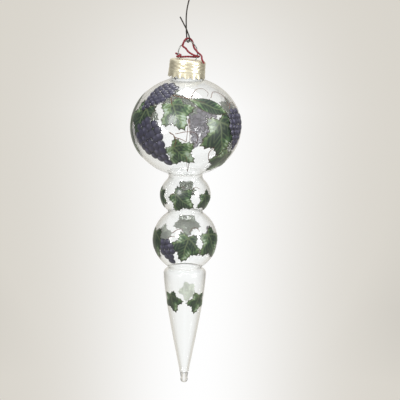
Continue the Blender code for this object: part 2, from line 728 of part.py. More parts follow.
# name, shape, azimuth from the front in degrees (+ to the right), height above the middle of
# its belly as a share of the belly's half height, half length as a share of the belly's usual
# one, direction of the tip in degrees from straight down (+ to the right), pasted layer
GLOBE_CUTOUTS = [
    ("globe_grapes_upper", "bunch", -42, 0.66, 0.90, -34, 3),
    ("globe_grapes_lower", "bunch", -36, -0.24, 1.15, 30, 3),
    ("globe_grapes_right", "bunch", 62, 0.02, 0.92, -6, 3),
    ("globe_grapes_back", "bunch", 163, -0.12, 1.08, 12, 3),
    ("globe_grapes_back_left", "bunch", -118, -0.30, 0.98, -20, 3),
    ("globe_leaf_left_high", "blade", -82, 0.34, 1.00, 20, 0),
    ("globe_leaf_left", "leaf", -52, 0.27, 1.05, -14, 2),
    ("globe_leaf_left_low", "blade", -76, -0.20, 1.00, 10, 1),
    ("globe_leaf_light", "leaf", -8, -0.36, 0.85, 48, 0),
    ("globe_leaf_centre", "leaf", -12, 0.42, 0.92, 30, 0),
    ("globe_leaf_right_high", "blade", 28, 0.50, 0.95, 66, 1),
    ("globe_leaf_right", "leaf", 38, 0.00, 1.20, 10, 0),
    ("globe_leaf_right_low", "leaf", 50, -0.56, 0.85, -24, 1),
    ("globe_leaf_back", "leaf", 186, 0.40, 1.08, 20, 0),
    ("globe_leaf_back_right", "leaf", 118, 0.30, 0.98, -30, 0),
    ("globe_leaf_back_low", "leaf", 112, -0.40, 0.90, 24, 1),
    ("globe_leaf_back_left", "leaf", -130, 0.24, 1.00, 14, 1),
]
SMALL_BALL_CUTOUTS = [
    ("small_ball_leaf_left", "small_leaf", -72, 0.00, 0.92, -10, 0),
    ("small_ball_leaf_front", "small_leaf", -12, 0.02, 1.12, 52, 1),
    ("small_ball_leaf_right", "small_leaf", 52, -0.10, 0.92, 20, 0),
    ("small_ball_leaf_back", "small_leaf", 178, 0.05, 0.96, 0, 0),
]
MIDDLE_BALL_CUTOUTS = [
    ("middle_ball_leaf_left", "leaf", -66, 0.06, 1.04, 8, 0),
    ("middle_ball_grapes_left", "small_bunch", -32, -0.20, 0.72, 14, 2),
    ("middle_ball_leaf_front", "leaf", 2, 0.04, 1.00, -14, 1),
    ("middle_ball_leaf_right", "leaf", 52, 0.08, 1.10, 24, 0),
    ("middle_ball_leaf_back", "leaf", 176, 0.36, 0.92, 0, 0),
    ("middle_ball_grapes_back", "small_bunch", 122, -0.12, 0.72, -10, 2),
    ("middle_ball_leaf_back_left", "small_leaf", -130, 0.00, 0.86, -16, 1),
]
ICICLE_CUTOUTS = [
    ("icicle_leaf_left", "small_leaf", -42, -0.22, 1.00, 16, 0),
    ("icicle_leaf_right", "small_leaf", 42, -0.23, 1.00, -12, 0),
    ("icicle_leaf_back", "small_leaf", 168, -0.21, 0.90, 10, 0),
]


def cutout(name, shape, azimuth, height, half_length, turn, layer, surface):
    """A paper shape: a disc spun from a line, drawn to its outline and laid round the glass."""
    outline, corners, rings = SHAPES[shape]
    disc = bmesh.new()
    line = [disc.verts.new((ring / rings, 0.0, 0.0)) for ring in range(rings + 1)]
    edges = [disc.edges.new(pair) for pair in zip(line, line[1:])]
    bmesh.ops.spin(
        disc, geom=line + edges, cent=(0, 0, 0), axis=(0, 0, 1), angle=2 * pi, steps=corners
    )
    bmesh.ops.remove_doubles(disc, verts=disc.verts, dist=10 * SAME_POINT)
    lift = CLEARANCE + PAPER_BOW + layer * LAYER_STEP
    for vertex in disc.verts:
        share = hypot(vertex.co.x, vertex.co.y)
        angle = atan2(vertex.co.y, vertex.co.x)
        reach = half_length * share * outline(angle)
        along, across = reach * cos(angle), reach * sin(angle)
        right = along * sin(turn) + across * cos(turn)
        up = -along * cos(turn) + across * sin(turn)
        vertex.co = on_glass(surface, azimuth, height, right, up, lift)
    bmesh.ops.recalc_face_normals(disc, faces=disc.faces)
    mesh = bpy.data.meshes.new(name)
    for face in disc.faces:
        face.smooth = True
    first = next(iter(disc.faces))
    away = Vector((first.calc_center_median().x, first.calc_center_median().y, 0.0))
    if first.normal.dot(away) < 0:
        bmesh.ops.reverse_faces(disc, faces=disc.faces)
    disc.to_mesh(mesh)
    disc.free()
    return mesh


def build_cutouts(table, middle, half_height, usual, surface, finishes, parent, collection):
    for name, shape, azimuth, height, size, turn, layer in table:
        level, half_length = middle + height * half_height, size * usual
        mesh = cutout(
            name, shape, radians(azimuth), level, half_length, radians(turn), layer, surface
        )
        mesh.materials.append(finishes["grapes" if "bunch" in shape else "leaf"])
        made = place(bpy.data.objects.new(name, mesh), parent, collection)
        paper = made.modifiers.new("paper", "SOLIDIFY")
        paper.thickness = PAPER
        paper.offset = 1.0


# ---------------------------------------------------------------- the whole ornament


def build_cord(finish, parent, collection):
    """The red cord: a wrap on each foot of the bail, a strand between, and a loop over the top."""
    for name, points in (("cord_left_wrap", left_wrap()), ("cord_right_wrap", right_wrap())):
        print(f"{name}: least gap to itself {1000 * least_gap(points, CORD_RADIUS):.2f} mm")
        tube(name, points, CORD_RADIUS, finish, parent, collection, sides=1)
    for name, route in (("cord_strand", strand_route()), ("cord_loop", loop_route())):
        points = smooth_route(route, 2.0 * CORD_RADIUS)
        tube(name, points, CORD_RADIUS, finish, parent, collection)


def build():
    clear_scene()
    parts = new_collection("icicle_ornament")
    cutters = new_collection("cutters")
    wire = material("hook_wire", (0.16, 0.15, 0.14), 0.45, metallic=0.8)
    bright_wire = material("bail_wire", (0.45, 0.45, 0.43), 0.35, metallic=1.0)
    brass = material("cap_brass", (0.78, 0.68, 0.42), 0.25, metallic=1.0)
    red = material("red_cord", (0.45, 0.02, 0.05), 0.8)
    clear = material("clear_glass", (0.95, 0.97, 0.97), 0.02, transmission=1.0)
    finishes = {
        "grapes": material("grape_paper", (0.10, 0.08, 0.20), 0.5),
        "leaf": material("leaf_paper", (0.12, 0.32, 0.10), 0.5),
    }

    swing = joint_empty("swing", (CAP_LEAN, 0.0, EYE_BOTTOM), None, parts)
    turn = joint_empty("turn", (0.0, 0.0, CAP_RIM), swing, parts)

    tube(
        "ornament_hook",
        smooth_route(hook_route(), 2.4 * 2 * HOOK_WIRE_RADIUS),
        HOOK_WIRE_RADIUS,
        wire,
        None,
        parts,
    )
    tube(
        "bail",
        smooth_route(bail_route(), 2.4 * 2 * BAIL_WIRE_RADIUS),
        BAIL_WIRE_RADIUS,
        bright_wire,
        swing,
        parts,
    )
    build_cap(brass, swing, parts, cutters)
    build_cord(red, swing, parts)
    build_glass(clear, turn, parts)

    surface = glass_surface()
    for table, middle, half_height, usual in (
        (GLOBE_CUTOUTS, GLOBE_MIDDLE, GLOBE_HALF_HEIGHT, GLOBE_PRINT),
        (SMALL_BALL_CUTOUTS, SMALL_BALL_MIDDLE, SMALL_BALL_HALF_HEIGHT, SMALL_BALL_PRINT),
        (MIDDLE_BALL_CUTOUTS, MIDDLE_BALL_MIDDLE, MIDDLE_BALL_RADIUS, MIDDLE_BALL_PRINT),
        (ICICLE_CUTOUTS, ICICLE_TOP, ICICLE_LENGTH, ICICLE_PRINT),
    ):
        build_cutouts(table, middle, half_height, usual, surface, finishes, turn, parts)


build()
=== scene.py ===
"""Looks of the blown-glass icicle ornament: glass, cap, wires, cord, paper cut-outs and studio.

Lengths are metres. +Z is up, the front faces -Y and the origin is where the hook hangs.
"""

import json
from collections import namedtuple
from math import asin, cos, pi, radians, sin, sqrt, tan

import bmesh
import bpy
import numpy as np
from bpy.props import FloatProperty, FloatVectorProperty, PointerProperty
from mathutils import Euler, Matrix, Vector


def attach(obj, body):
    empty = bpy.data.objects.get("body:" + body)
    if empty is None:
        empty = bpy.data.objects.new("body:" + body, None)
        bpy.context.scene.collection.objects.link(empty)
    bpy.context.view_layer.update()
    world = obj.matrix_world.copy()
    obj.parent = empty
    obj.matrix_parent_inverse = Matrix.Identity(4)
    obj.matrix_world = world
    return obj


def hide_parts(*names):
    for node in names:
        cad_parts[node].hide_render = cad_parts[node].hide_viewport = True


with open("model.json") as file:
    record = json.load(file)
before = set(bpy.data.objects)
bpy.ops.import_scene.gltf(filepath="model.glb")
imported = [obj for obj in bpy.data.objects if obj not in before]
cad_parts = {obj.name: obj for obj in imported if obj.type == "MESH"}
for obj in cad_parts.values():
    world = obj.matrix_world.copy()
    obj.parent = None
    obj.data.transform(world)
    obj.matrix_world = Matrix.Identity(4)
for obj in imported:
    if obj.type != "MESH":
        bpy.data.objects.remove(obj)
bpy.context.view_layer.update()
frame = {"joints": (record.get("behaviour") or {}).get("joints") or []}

bl_info = {
    "name": "Icicle Ornament",
    "version": (1, 0, 0),
    "blender": (4, 5, 0),
    "location": "View3D > Sidebar > Ornament",
    "description": "Dresses the blown-glass icicle ornament and sets its studio",
    "category": "Object",
}

JOINT_PLACES = {joint["name"]: joint["pos_m"] for joint in frame["joints"]}
LEAN, _, EYE_BOTTOM = JOINT_PLACES["swing"]  # where the hook's eye holds the bail
CAP_RIM = JOINT_PLACES["turn"][2]
CLEARANCE = 0.0003  # between pieces that touch
SAME_POINT = 1e-7  # points nearer than this are merged

# Fineness of the meshes: points, or steps in metres
BELLY_POINTS = 90
OUTLINE_STEP = 0.0007
OUTLINE_SOFTNESS = 1.3  # in those steps
THINNED_STEP = 0.0022  # on straight stretches
THINNED_BEND = radians(4.0)  # on bends
SPAN_POINTS = 24  # between two points of a route
GLASS_STEPS = 128
CAP_STEPS = 224
WIRE_STEP = 0.0004
WIRE_COLUMNS = 16
CORD_STEP = 0.00022
CORD_COLUMNS = 20
LEAF_GRID = (210, 22)  # corners and rings
BERRY_GRID = (18, 4)
STEM_POINTS = 64
STEM_COLUMNS = 10

FLUTES = 16  # round the cap's skirt
LOZENGES = 12  # round the band above it
BAND_EDGE = 0.0006  # height in which the band rises
LINE_WIDTH = 0.0005  # half width of the raised line below the band
BERRY_ROW, BERRY_COLUMN = 1.72, 1.75  # from berry to berry, in radii
BERRY_HEIGHT = 0.00055  # of its dome above the paper
BERRY_SCATTER = 0.00022  # how much one berry may lie above another


# ---------------------------------------------------------------- settings


def length(name, size, description):
    """A length in metres that a user can change."""
    return FloatProperty(
        name=name, description=description, default=size, unit="LENGTH", precision=5
    )


def number(name, value, description):
    """A plain number that a user can change."""
    return FloatProperty(name=name, description=description, default=value)


def turn(name, size, description):
    """An angle that a user can change."""
    return FloatProperty(
        name=name, description=description, default=size, unit="ROTATION", subtype="ANGLE"
    )


def colour(name, value, description):
    """A linear colour that a user can change."""
    return FloatVectorProperty(
        name=name, description=description, default=value, subtype="COLOR", min=0.0, max=1.0
    )


class GlassSettings(bpy.types.PropertyGroup):
    """Sizes and tint of the blown glass."""

    wall: length("Wall", 0.0012, "Thickness of the glass")
    neck_radius: length("Neck radius", 0.0134, "Outer radius of the neck")
    neck_flare: length("Neck flare", 0.0026, "Height of the bend from the neck to the globe")
    globe_radius: length("Globe radius", 0.0502, "Widest radius of the globe")
    globe_height: length("Globe half height", 0.0450, "Half the height of its oval")
    upper_waist: length("Upper waist radius", 0.0155, "Below the globe")
    upper_waist_length: length("Upper waist length", 0.0047, "Height of its straight part")
    small_ball_radius: length("Small ball radius", 0.0232, "Widest radius of the small ball")
    small_ball_height: length("Small ball half height", 0.0203, "Half the height of its oval")
    middle_waist: length("Middle waist radius", 0.0149, "Between the two balls")
    middle_waist_length: length("Middle waist length", 0.0006, "Height of its straight part")
    middle_ball_radius: length("Middle ball radius", 0.0298, "Radius of the larger ball")
    lower_waist: length("Lower waist radius", 0.0144, "Above the icicle")
    lower_waist_length: length("Lower waist length", 0.0012, "Height of its straight part")
    icicle_radius: length("Icicle radius", 0.0198, "At its shoulder")
    icicle_shoulder: length("Icicle shoulder", 0.0045, "Height of its rounded shoulder")
    icicle_length: length("Icicle length", 0.1022, "From the shoulder to the tip bead")
    tip_radius: length("Tip radius", 0.0031, "Where the icicle meets its bead")
    solid_tip_radius: length("Solid tip radius", 0.0047, "It is solid where it is slimmer")
    bead_radius: length("Bead radius", 0.0036, "Radius of the tip bead")
    bead_height: length("Bead half height", 0.0035, "Half the height of the bead")
    bend: length("Bend", 0.0009, "Softness of the bends beside the waists")
    tint: colour("Tint", (0.985, 0.993, 0.989), "Colour that the glass gives to light")


class CapSettings(bpy.types.PropertyGroup):
    """Sizes and colour of the sheet-metal cap."""

    radius: length("Radius", 0.0162, "Outer radius of the wall")
    height: length("Height", 0.0162, "From rim to top")
    sheet: length("Sheet", 0.0004, "Thickness of the metal")
    edge: length("Edge radius", 0.0024, "Rounding of the top edge")
    flare: length("Flare", 0.0003, "How much wider it is at the rim")
    tilt: turn("Tilt", radians(4.6), "How crooked it sits on the neck")
    flute_depth: length("Flute depth", 0.00055, "Depth of the flutes of the skirt")
    flute_height: length("Flute height", 0.0062, "Height of the fluted skirt")
    scallop: length("Scallop", 0.0013, "How far the rim rises between flutes")
    relief: length("Relief", 0.00022, "Height of the pressed band above the skirt")
    metal: colour("Metal", (0.84, 0.78, 0.58), "Pale gold tone of the metal")
    # Painted shade: this brown darkens the hollows between the flutes and in the pressed band
    hollow_shade: colour("Grime", (0.22, 0.17, 0.10), "Brown of its worn hollows")


class WireSettings(bpy.types.PropertyGroup):
    """Sizes and colours of the hook and the bail."""

    hook_radius: length("Hook wire radius", 0.0006, "Radius of the hook's wire")
    hook_height: length("Hook height", 0.0695, "Crook's top to eye's bottom")
    crook_radius: length("Crook radius", 0.0085, "Bend at the top of the hook")
    crook_drop: length("Crook drop", 0.019, "Free end of the crook below its top")
    crook_lip: length("Crook lip", 0.0020, "How far that end turns outwards")
    shaft_set: length("Shaft set", 0.0004, "Shaft's foot set back behind the free end")
    eye_radius: length("Eye radius", 0.0027, "Bend that holds the bail")
    eye_turn: turn("Eye turn", radians(-62.0), "Turn of the eye's plane from the crook's")
    eye_end_height: length("Eye end height", 0.022, "Free end above the eye's bottom")
    eye_end_reach: length("Eye end reach", 0.0071, "Free end out to the side")
    hook_colour: colour("Hook colour", (0.052, 0.047, 0.040), "Dull dark grey of the hook")
    bail_radius: length("Bail wire radius", 0.0005, "Radius of the bail's wire")
    bail_height: length("Bail height", 0.0169, "Top of the loop above the cap")
    bail_half_width: length("Bail half width", 0.0086, "Widest half of the loop")
    foot_half_width: length("Foot half width", 0.0072, "Half its width at the cap")
    leg_depth: length("Leg depth", 0.019, "Legs' ends below the cap's top")
    bail_colour: colour("Bail colour", (0.30, 0.30, 0.28), "Grey of the spring wire")


class CordSettings(bpy.types.PropertyGroup):
    """Sizes and colours of the red cord."""

    radius: length("Radius", 0.0009, "Radius of the cord")
    whole: length("Whole length", 0.0975, "Length from end to end")
    left_turns: number("Left turns", 1.25, "Round the left foot")
    right_turns: number("Right turns", 0.5, "Round the right foot")
    wrap_gap: length("Wrap gap", 0.0007, "Between the turns of a wrap")
    tail_angle: turn("Tail angle", radians(36.0), "Where the tail meets the cap's edge")
    tail_drop: length("Tail drop", 0.0012, "End of the tail below the edge")
    lay: length("Lay", 0.0046, "Length of one twist of the two strands")
    red: colour("Red", (0.200, 0.006, 0.015), "Colour of the yarn")
    # Painted shade: the colour the yarn takes in the grooves between the strands
    shade: colour("Shade", (0.050, 0.004, 0.006), "Colour between the strands")


class PrintSettings(bpy.types.PropertyGroup):
    """Colours of the printed paper and its thickness."""

    paper: length("Paper", 0.00016, "Thickness of the paper")
    lift: length("Lift", 0.00012, "Height of the lowest layer off the glass")
    layer: length("Layer", 0.00026, "Height that each pasted layer adds")
    globe: length("On the globe", 0.0200, "Usual half length of a cut-out there")
    small_ball: length("On the small ball", 0.0130, "Usual half length of a cut-out there")
    middle_ball: length("On the larger ball", 0.0165, "Usual half length of a cut-out there")
    icicle: length("On the icicle", 0.0122, "Usual half length of a cut-out there")
    leaf_dark: colour("Leaf dark", (0.006, 0.018, 0.010), "Darkest green")
    leaf_green: colour("Leaf green", (0.024, 0.062, 0.024), "Green of the leaves")
    leaf_yellow: colour("Leaf yellow", (0.092, 0.138, 0.055), "Warm light of the leaves")
    leaf_light: colour("Leaf light", (0.240, 0.305, 0.235), "Cool, pale patches of the leaves")
    vein: colour("Vein", (0.170, 0.210, 0.095), "Veins")
    outline: colour("Outline", (0.028, 0.018, 0.008), "Brown line round the leaves")
    grape_dark: colour("Grape dark", (0.006, 0.006, 0.012), "Shadows of the grapes")
    grape: colour("Grape", (0.021, 0.020, 0.040), "Skin of the grapes")
    # Painted highlight: the pale spot up on the left of each berry
    berry_highlight: colour("Bloom", (0.105, 0.100, 0.150), "Pale bloom on the grapes")
    stem: colour("Stem", (0.060, 0.024, 0.010), "Stems and tendrils")
    leaf_back: colour("Leaf back", (0.820, 0.870, 0.760), "Back of a leaf's paper")
    grape_back: colour("Grape back", (0.760, 0.710, 0.790), "Back of a bunch's paper")
    # Strength of the painted glow of the paper's backs, in place of light shining through them
    back_glow: number("See-through", 0.16, "Light let through")
    stem_width: length("Stem width", 0.00085, "Width of a stem at its foot")


class StageSettings(bpy.types.PropertyGroup):
    """Camera, backdrop and lights."""

    distance: length("Distance", 1.0, "Camera in front of the ornament's axis")
    above_cap: length("Above the cap", 0.068, "Camera above the cap's top")
    pitch: turn("Pitch", radians(11.1), "How far the camera looks down")
    roll: turn("Roll", 0.0078, "How far the camera leans")
    shift: number("Shift", 0.0365, "Sideways shift of the frame")
    lens: number("Lens", 100.0, "Focal length in mm")
    glow_side: number("Glow side", 0.01, "Glow's middle to the side")
    glow_width: number("Glow width", 0.1, "Half width of the glow")
    pale: colour("Pale", (0.690, 0.660, 0.600), "Backdrop at its edges")
    bright: colour("Bright", (1.0, 1.0, 1.0), "Backdrop at its lightest")
    side: colour("Side", (0.27, 0.27, 0.265), "Sweep at the sides, out of the picture")
    front: colour("Front", (0.74, 0.74, 0.73), "Sweep behind the camera")


# ---------------------------------------------------------------- meshes


def unit(vectors):
    """Each vector divided by its length."""
    return vectors / np.linalg.norm(vectors, axis=-1, keepdims=True)


def mesh_of(name, patches, uv=None, values=None, slots=None):
    """One object from patches of points, an array of patch, row, column and x, y, z.

    Each cell of a patch's grid is a face whose corners run down a row, then along a column,
    and the last column joins the first. uv holds a pair for each grid point, counting the
    closing column again, values holds one number for each point by name, and slots a
    material number for each row of faces.
    """
    count, rows, columns = patches.shape[:3]
    index = np.arange(count * rows * columns).reshape(count, rows, columns)
    index = np.concatenate([index, index[:, :, :1]], axis=2)
    faces = corners_of(index).reshape(-1, 4)
    mesh = bpy.data.meshes.new(name)
    mesh.from_pydata(patches.reshape(-1, 3), [], faces.tolist())
    if uv is not None:
        layer = mesh.uv_layers.new(name="UVMap")
        shape = (count, *index.shape[1:], 2)
        pairs = np.broadcast_to(uv, shape).reshape(-1, 2)
        order = corners_of(np.arange(len(pairs)).reshape(shape[:3])).reshape(-1)
        layer.data.foreach_set("uv", pairs[order].astype(np.float32).ravel())
    for word, numbers in (values or {}).items():
        layer = mesh.attributes.new(word, "FLOAT", "POINT")
        numbers = np.broadcast_to(numbers, (count, rows, columns))
        layer.data.foreach_set("value", numbers.astype(np.float32).ravel())
    if slots is not None:
        numbers = np.broadcast_to(slots[None, :, None], corners_of(index).shape[:3])
        mesh.polygons.foreach_set("material_index", numbers.astype(np.int32).ravel())
    mesh.shade_smooth()
    merge_points(mesh)
    made = bpy.data.objects.new(name, mesh)
    bpy.context.scene.collection.objects.link(made)
    return made


def corners_of(index):
    """The four point numbers of each cell of grids of point numbers."""
    return np.stack(
        [index[:, :-1, :-1], index[:, 1:, :-1], index[:, 1:, 1:], index[:, :-1, 1:]], axis=-1
    )


def merge_points(mesh):
    """Close the poles, where a whole row is one point."""
    whole = bmesh.new()
    whole.from_mesh(mesh)
    bmesh.ops.remove_doubles(whole, verts=whole.verts, dist=SAME_POINT)
    whole.to_mesh(mesh)
    whole.free()


def circle(steps):
    """Even angles once round."""
    return np.linspace(0.0, 2 * pi, steps, endpoint=False)


def turned(profile, steps):
    """A profile of (radius, height) pairs turned round Z: x = r cos a, y = r sin a, z = h."""
    angles = circle(steps)
    radii, heights = profile[:, :1], profile[:, 1:]
    x, y = radii * np.cos(angles), radii * np.sin(angles)
    return np.stack([x, y, np.broadcast_to(heights, x.shape)], axis=-1)


def distances(line):
    """Distance along a line of points to each of them."""
    return np.concatenate([[0.0], np.cumsum(np.linalg.norm(np.diff(line, axis=0), axis=1))])


def read_off(line, along, wanted):
    """Points of a line at wanted distances, from those of its own points."""
    return np.column_stack([np.interp(wanted, along, column) for column in line.T])


def even_steps(line, step):
    """The same line with points at even steps."""
    along = distances(line)
    wanted = np.linspace(0.0, along[-1], max(2, round(along[-1] / step)) + 1)
    return read_off(line, along, wanted)


def smooth_line(route, step):
    """Even points on the curve through a route's points.

    Between two of them it is a Bezier cubic, whose ends point along their neighbours' chord
    and are a third of the span long.
    """
    route = np.array(route, float)
    ends = np.vstack([2 * route[0] - route[1], route, 2 * route[-1] - route[-2]])
    before, start, end, after = ends[:-3], ends[1:-2], ends[2:-1], ends[3:]
    span = np.linalg.norm(end - start, axis=1, keepdims=True) / 3
    first = start + unit(end - before) * span
    second = end - unit(after - start) * span
    share = np.linspace(0.0, 1.0, SPAN_POINTS, endpoint=False)[None, :, None]
    rest = 1.0 - share
    curve = (
        rest**3 * start[:, None]
        + 3 * rest**2 * share * first[:, None]
        + 3 * rest * share**2 * second[:, None]
        + share**3 * end[:, None]
    )
    return even_steps(np.vstack([curve.reshape(-1, 3), route[-1:]]), step)


def carried(path, radii, ends=6):
    """A section carried along a path, closed by round ends.

    A point is path + r(s, a) (n cos a + b sin a), where n and b turn as little as they can,
    and r shrinks as a quarter circle over each end. radii holds r for each path point and
    column.
    """
    run = unit(np.gradient(path, axis=0))
    across = np.empty_like(run)
    side = np.cross(run[0], (0.0, 1.0, 0.0))
    if np.linalg.norm(side) < 0.1:
        side = np.cross(run[0], (1.0, 0.0, 0.0))
    for station, way in enumerate(run):
        side = side - way * side.dot(way)
        side = side / np.linalg.norm(side)
        across[station] = side
    angles = circle(radii.shape[1])
    way = across[:, None] * np.cos(angles)[:, None] + np.cross(across, run)[:, None] * (
        np.sin(angles)[:, None]
    )
    body = path[:, None] + radii[..., None] * way
    bend = np.linspace(0.0, 0.5 * pi, ends + 1)[1:]
    reach = radii.mean(axis=1)
    shrink, push = np.cos(bend)[:, None, None], np.sin(bend)[:, None, None]
    tip = path[0] - reach[0] * push * run[0] + shrink * (body[0] - path[0])
    tail = path[-1] + reach[-1] * push * run[-1] + shrink * (body[-1] - path[-1])
    return np.concatenate([tip[::-1], body, tail])


# ---------------------------------------------------------------- materials


class Value:
    """A number in a shader tree: + - * and / on it add Math nodes."""

    def __init__(self, socket):
        self.socket = socket

    def __add__(self, other):
        return maths("ADD", self, other)

    def __sub__(self, other):
        return maths("SUBTRACT", self, other)

    def __rsub__(self, other):
        return maths("SUBTRACT", other, self)

    def __mul__(self, other):
        return maths("MULTIPLY", self, other)

    def __truediv__(self, other):
        return maths("DIVIDE", self, other)

    __radd__, __rmul__ = __add__, __mul__

    def kept(self):
        """The same number, kept between 0 and 1."""
        self.socket.node.use_clamp = True
        return self


def maths(operation, first, second=0.0):
    """A Math node on two numbers, of which at least one is a Value."""
    known = first if isinstance(first, Value) else second
    made = node(known.socket.id_data, "Math", {0: first, 1: second}, operation=operation)
    return Value(made.outputs[0])


def feed(socket, value):
    """Set an input to a number, a vector or a colour, or link it to an output."""
    value = getattr(value, "socket", value)
    if isinstance(value, bpy.types.NodeSocket):
        socket.id_data.links.new(value, socket)
    else:
        socket.default_value = (*value, 1.0) if socket.type == "RGBA" else value


def node(tree, kind, inputs=None, **settings):
    """A shader node with its settings and its inputs."""
    made = tree.nodes.new("ShaderNode" + kind)
    for word, value in settings.items():
        setattr(made, word, value)
    for word, value in (inputs or {}).items():
        feed(made.inputs[word], value)
    return made


def finish_of(name, roughness, metallic=0.0, **sockets):
    """A new material: its tree and its Principled shader, with plain values on the shader."""
    made = bpy.data.materials.new(name)
    made.use_nodes = True
    shader = made.node_tree.nodes["Principled BSDF"]
    for word, value in {"Roughness": roughness, "Metallic": metallic, **sockets}.items():
        feed(shader.inputs[word.replace("_", " ")], value)
    return made, made.node_tree, shader


def attribute(tree, name):
    return Value(node(tree, "Attribute", attribute_name=name).outputs["Fac"])


def place_on(tree, kind):
    """Where a point is, by the object's own coordinates or its UV map."""
    return node(tree, "TexCoord").outputs[kind]


def part_of(tree, vector, axis):
    return Value(node(tree, "SeparateXYZ", {0: vector}).outputs[axis])


def vector_maths(tree, operation, *vectors):
    return node(tree, "VectorMath", dict(enumerate(vectors)), operation=operation).outputs


def mixed(tree, share, first, second):
    """A colour that goes from first to second as share goes from 0 to 1."""
    return node(tree, "Mix", {0: share, 6: first, 7: second}, data_type="RGBA").outputs[2]


def ramp(tree, share, stops):
    """A colour read from stops of (place, colour)."""
    made = node(tree, "ValToRGB", {"Fac": share})
    band = made.color_ramp
    while len(band.elements) < len(stops):
        band.elements.new(0.5)
    for element, (place, value) in zip(band.elements, stops):
        element.position = place
        element.color = (*value, 1.0)
    return made.outputs["Color"]


def noise(tree, scale, detail=3.0, where=None, rough=0.5):
    """Noise on the object's own coordinates, or on another vector."""
    where = where or place_on(tree, "Object")
    inputs = {"Scale": scale, "Detail": detail, "Roughness": rough, "Vector": where}
    return Value(node(tree, "TexNoise", inputs).outputs["Fac"])


def bump(tree, shader, height, strength, depth):
    inputs = {"Height": height, "Strength": strength, "Distance": depth}
    feed(shader.inputs["Normal"], node(tree, "Bump", inputs).outputs["Normal"])


def darker(value, share=0.5):
    return tuple(share * part for part in value)


def glass_finish(glass):
    """Clear glass with the faint waves of blowing."""
    made, tree, shader = finish_of(
        "clear_blown_glass", 0.0, Transmission_Weight=1.0, IOR=1.5, Base_Color=glass.tint
    )
    bump(tree, shader, noise(tree, 38.0, 1.0), 0.06, 0.001)
    return made


def cap_finish(cap):
    """Bright gold-toned sheet with painted brown shade in its hollows and small dents."""
    made, tree, shader = finish_of("cap_brass_sheet", 0.30, metallic=0.85)
    # Painted shade: brown mixed into the hollows, broken up by noise
    share = (attribute(tree, "hollow") * (noise(tree, 420.0, 4.0) * 1.3)).kept()
    feed(shader.inputs["Base Color"], mixed(tree, share, cap.metal, cap.hollow_shade))
    feed(shader.inputs["Roughness"], share * 0.30 + 0.26)
    bump(tree, shader, noise(tree, 700.0, 2.0), 0.16, 0.0003)
    return made


def wire_finish(name, value, roughness, scale):
    """Drawn wire with fine scratches and dull patches."""
    made, tree, shader = finish_of(name, roughness, metallic=0.85)
    dull = mixed(tree, noise(tree, scale, 4.0), darker(value, 0.55), value)
    feed(shader.inputs["Base Color"], dull)
    bump(tree, shader, noise(tree, 4 * scale, 3.0), 0.08, 0.0001)
    return made


def cord_finish(cord):
    """Soft red yarn with painted shade between the strands, and fine fibres along the twist."""
    made, tree, shader = finish_of("red_yarn", 0.85, Sheen_Weight=0.08, Sheen_Roughness=0.5)
    turned_by = {"Vector": place_on(tree, "UV"), "Scale": (40.0, 3.0, 1.0), "Rotation": (0, 0, 0.6)}
    strand = noise(tree, 1.0, 3.0, where=node(tree, "Mapping", turned_by).outputs["Vector"])
    # Painted shade: darker away from each strand's crest, where the strands meet
    share = (attribute(tree, "crest") * (strand + 0.45)).kept()
    feed(shader.inputs["Base Color"], mixed(tree, share, cord.shade, cord.red))
    bump(tree, shader, strand, 0.6, 0.0002)
    return made


def paint_paper(tree, shader, prints, paleness, light, front, back, glow):
    """The print's colour, or the paper's pale back, which glows a little with painted light in
    place of light let through.
    """
    feed(shader.inputs["Base Color"], mixed(tree, paleness, front, back))
    # Painted glow: the back's pale colour is emitted, standing in for light through the paper
    feed(shader.inputs["Emission Color"], glow)
    feed(shader.inputs["Emission Strength"], light * paleness * prints.back_glow)


def leaf_finish(prints, name, paleness, light=1.0):
    """Printed leaf: patches of green, pale veins and a brown outline, under varnish.

    A pale one is the back of the paper, which glows with painted light, and light is how much
    brighter that glow is.
    """
    made, tree, shader = finish_of(name, 0.42, Coat_Weight=0.35, Coat_Roughness=0.15)
    place = place_on(tree, "UV")
    patches = noise(tree, 2.6, 3.0, where=place, rough=0.55)
    spread = (patches - attribute(tree, "fold") * 0.12 - 0.42) * 3.8
    spread = spread + (0.5 - part_of(tree, place, "X")) * 0.5
    share = (spread + attribute(tree, "tone")).kept()
    greens = (prints.leaf_dark, prints.leaf_green, prints.leaf_yellow, prints.leaf_light)
    body = ramp(tree, share, list(zip((0.18, 0.44, 0.68, 0.90), greens)))
    veined = mixed(tree, attribute(tree, "vein") * 0.42, body, prints.vein)
    drawn = mixed(tree, attribute(tree, "edge"), veined, prints.outline)
    back = mixed(tree, share, darker(prints.leaf_back), prints.leaf_back)
    back = mixed(tree, attribute(tree, "edge") * 0.5, back, prints.outline)
    paint_paper(tree, shader, prints, paleness, light, drawn, back, prints.leaf_back)
    bump(tree, shader, attribute(tree, "vein") + patches, 0.3, 0.0002)
    return made


def grape_finish(prints, name, paleness):
    """Printed grapes: painted shade round each berry's rim, purple inside, a painted highlight up
    on the left.
    """
    made, tree, shader = finish_of(name, 0.38, Coat_Weight=0.4, Coat_Roughness=0.12)
    place = place_on(tree, "UV")
    from_middle = vector_maths(tree, "DISTANCE", place, (0.5, 0.5, 0.0))["Value"]
    from_spot = vector_maths(tree, "DISTANCE", place, (0.34, 0.66, 0.0))["Value"]
    edge = ((Value(from_middle) - 0.26) * 4.5).kept()
    berry = mixed(tree, edge, prints.grape, prints.grape_dark)
    # Painted highlight: a pale spot up on the left of each berry, stronger on berries of higher
    # tone
    glow = (0.95 - Value(from_spot) * 3.2).kept()
    highlighted = mixed(tree, (glow * attribute(tree, "tone")).kept(), berry, prints.berry_highlight)
    back = mixed(tree, edge, prints.grape_back, darker(prints.grape_back))
    paint_paper(tree, shader, prints, paleness, 1.0, highlighted, back, prints.grape_back)
    bump(tree, shader, noise(tree, 260.0, 3.0), 0.2, 0.0002)
    return made


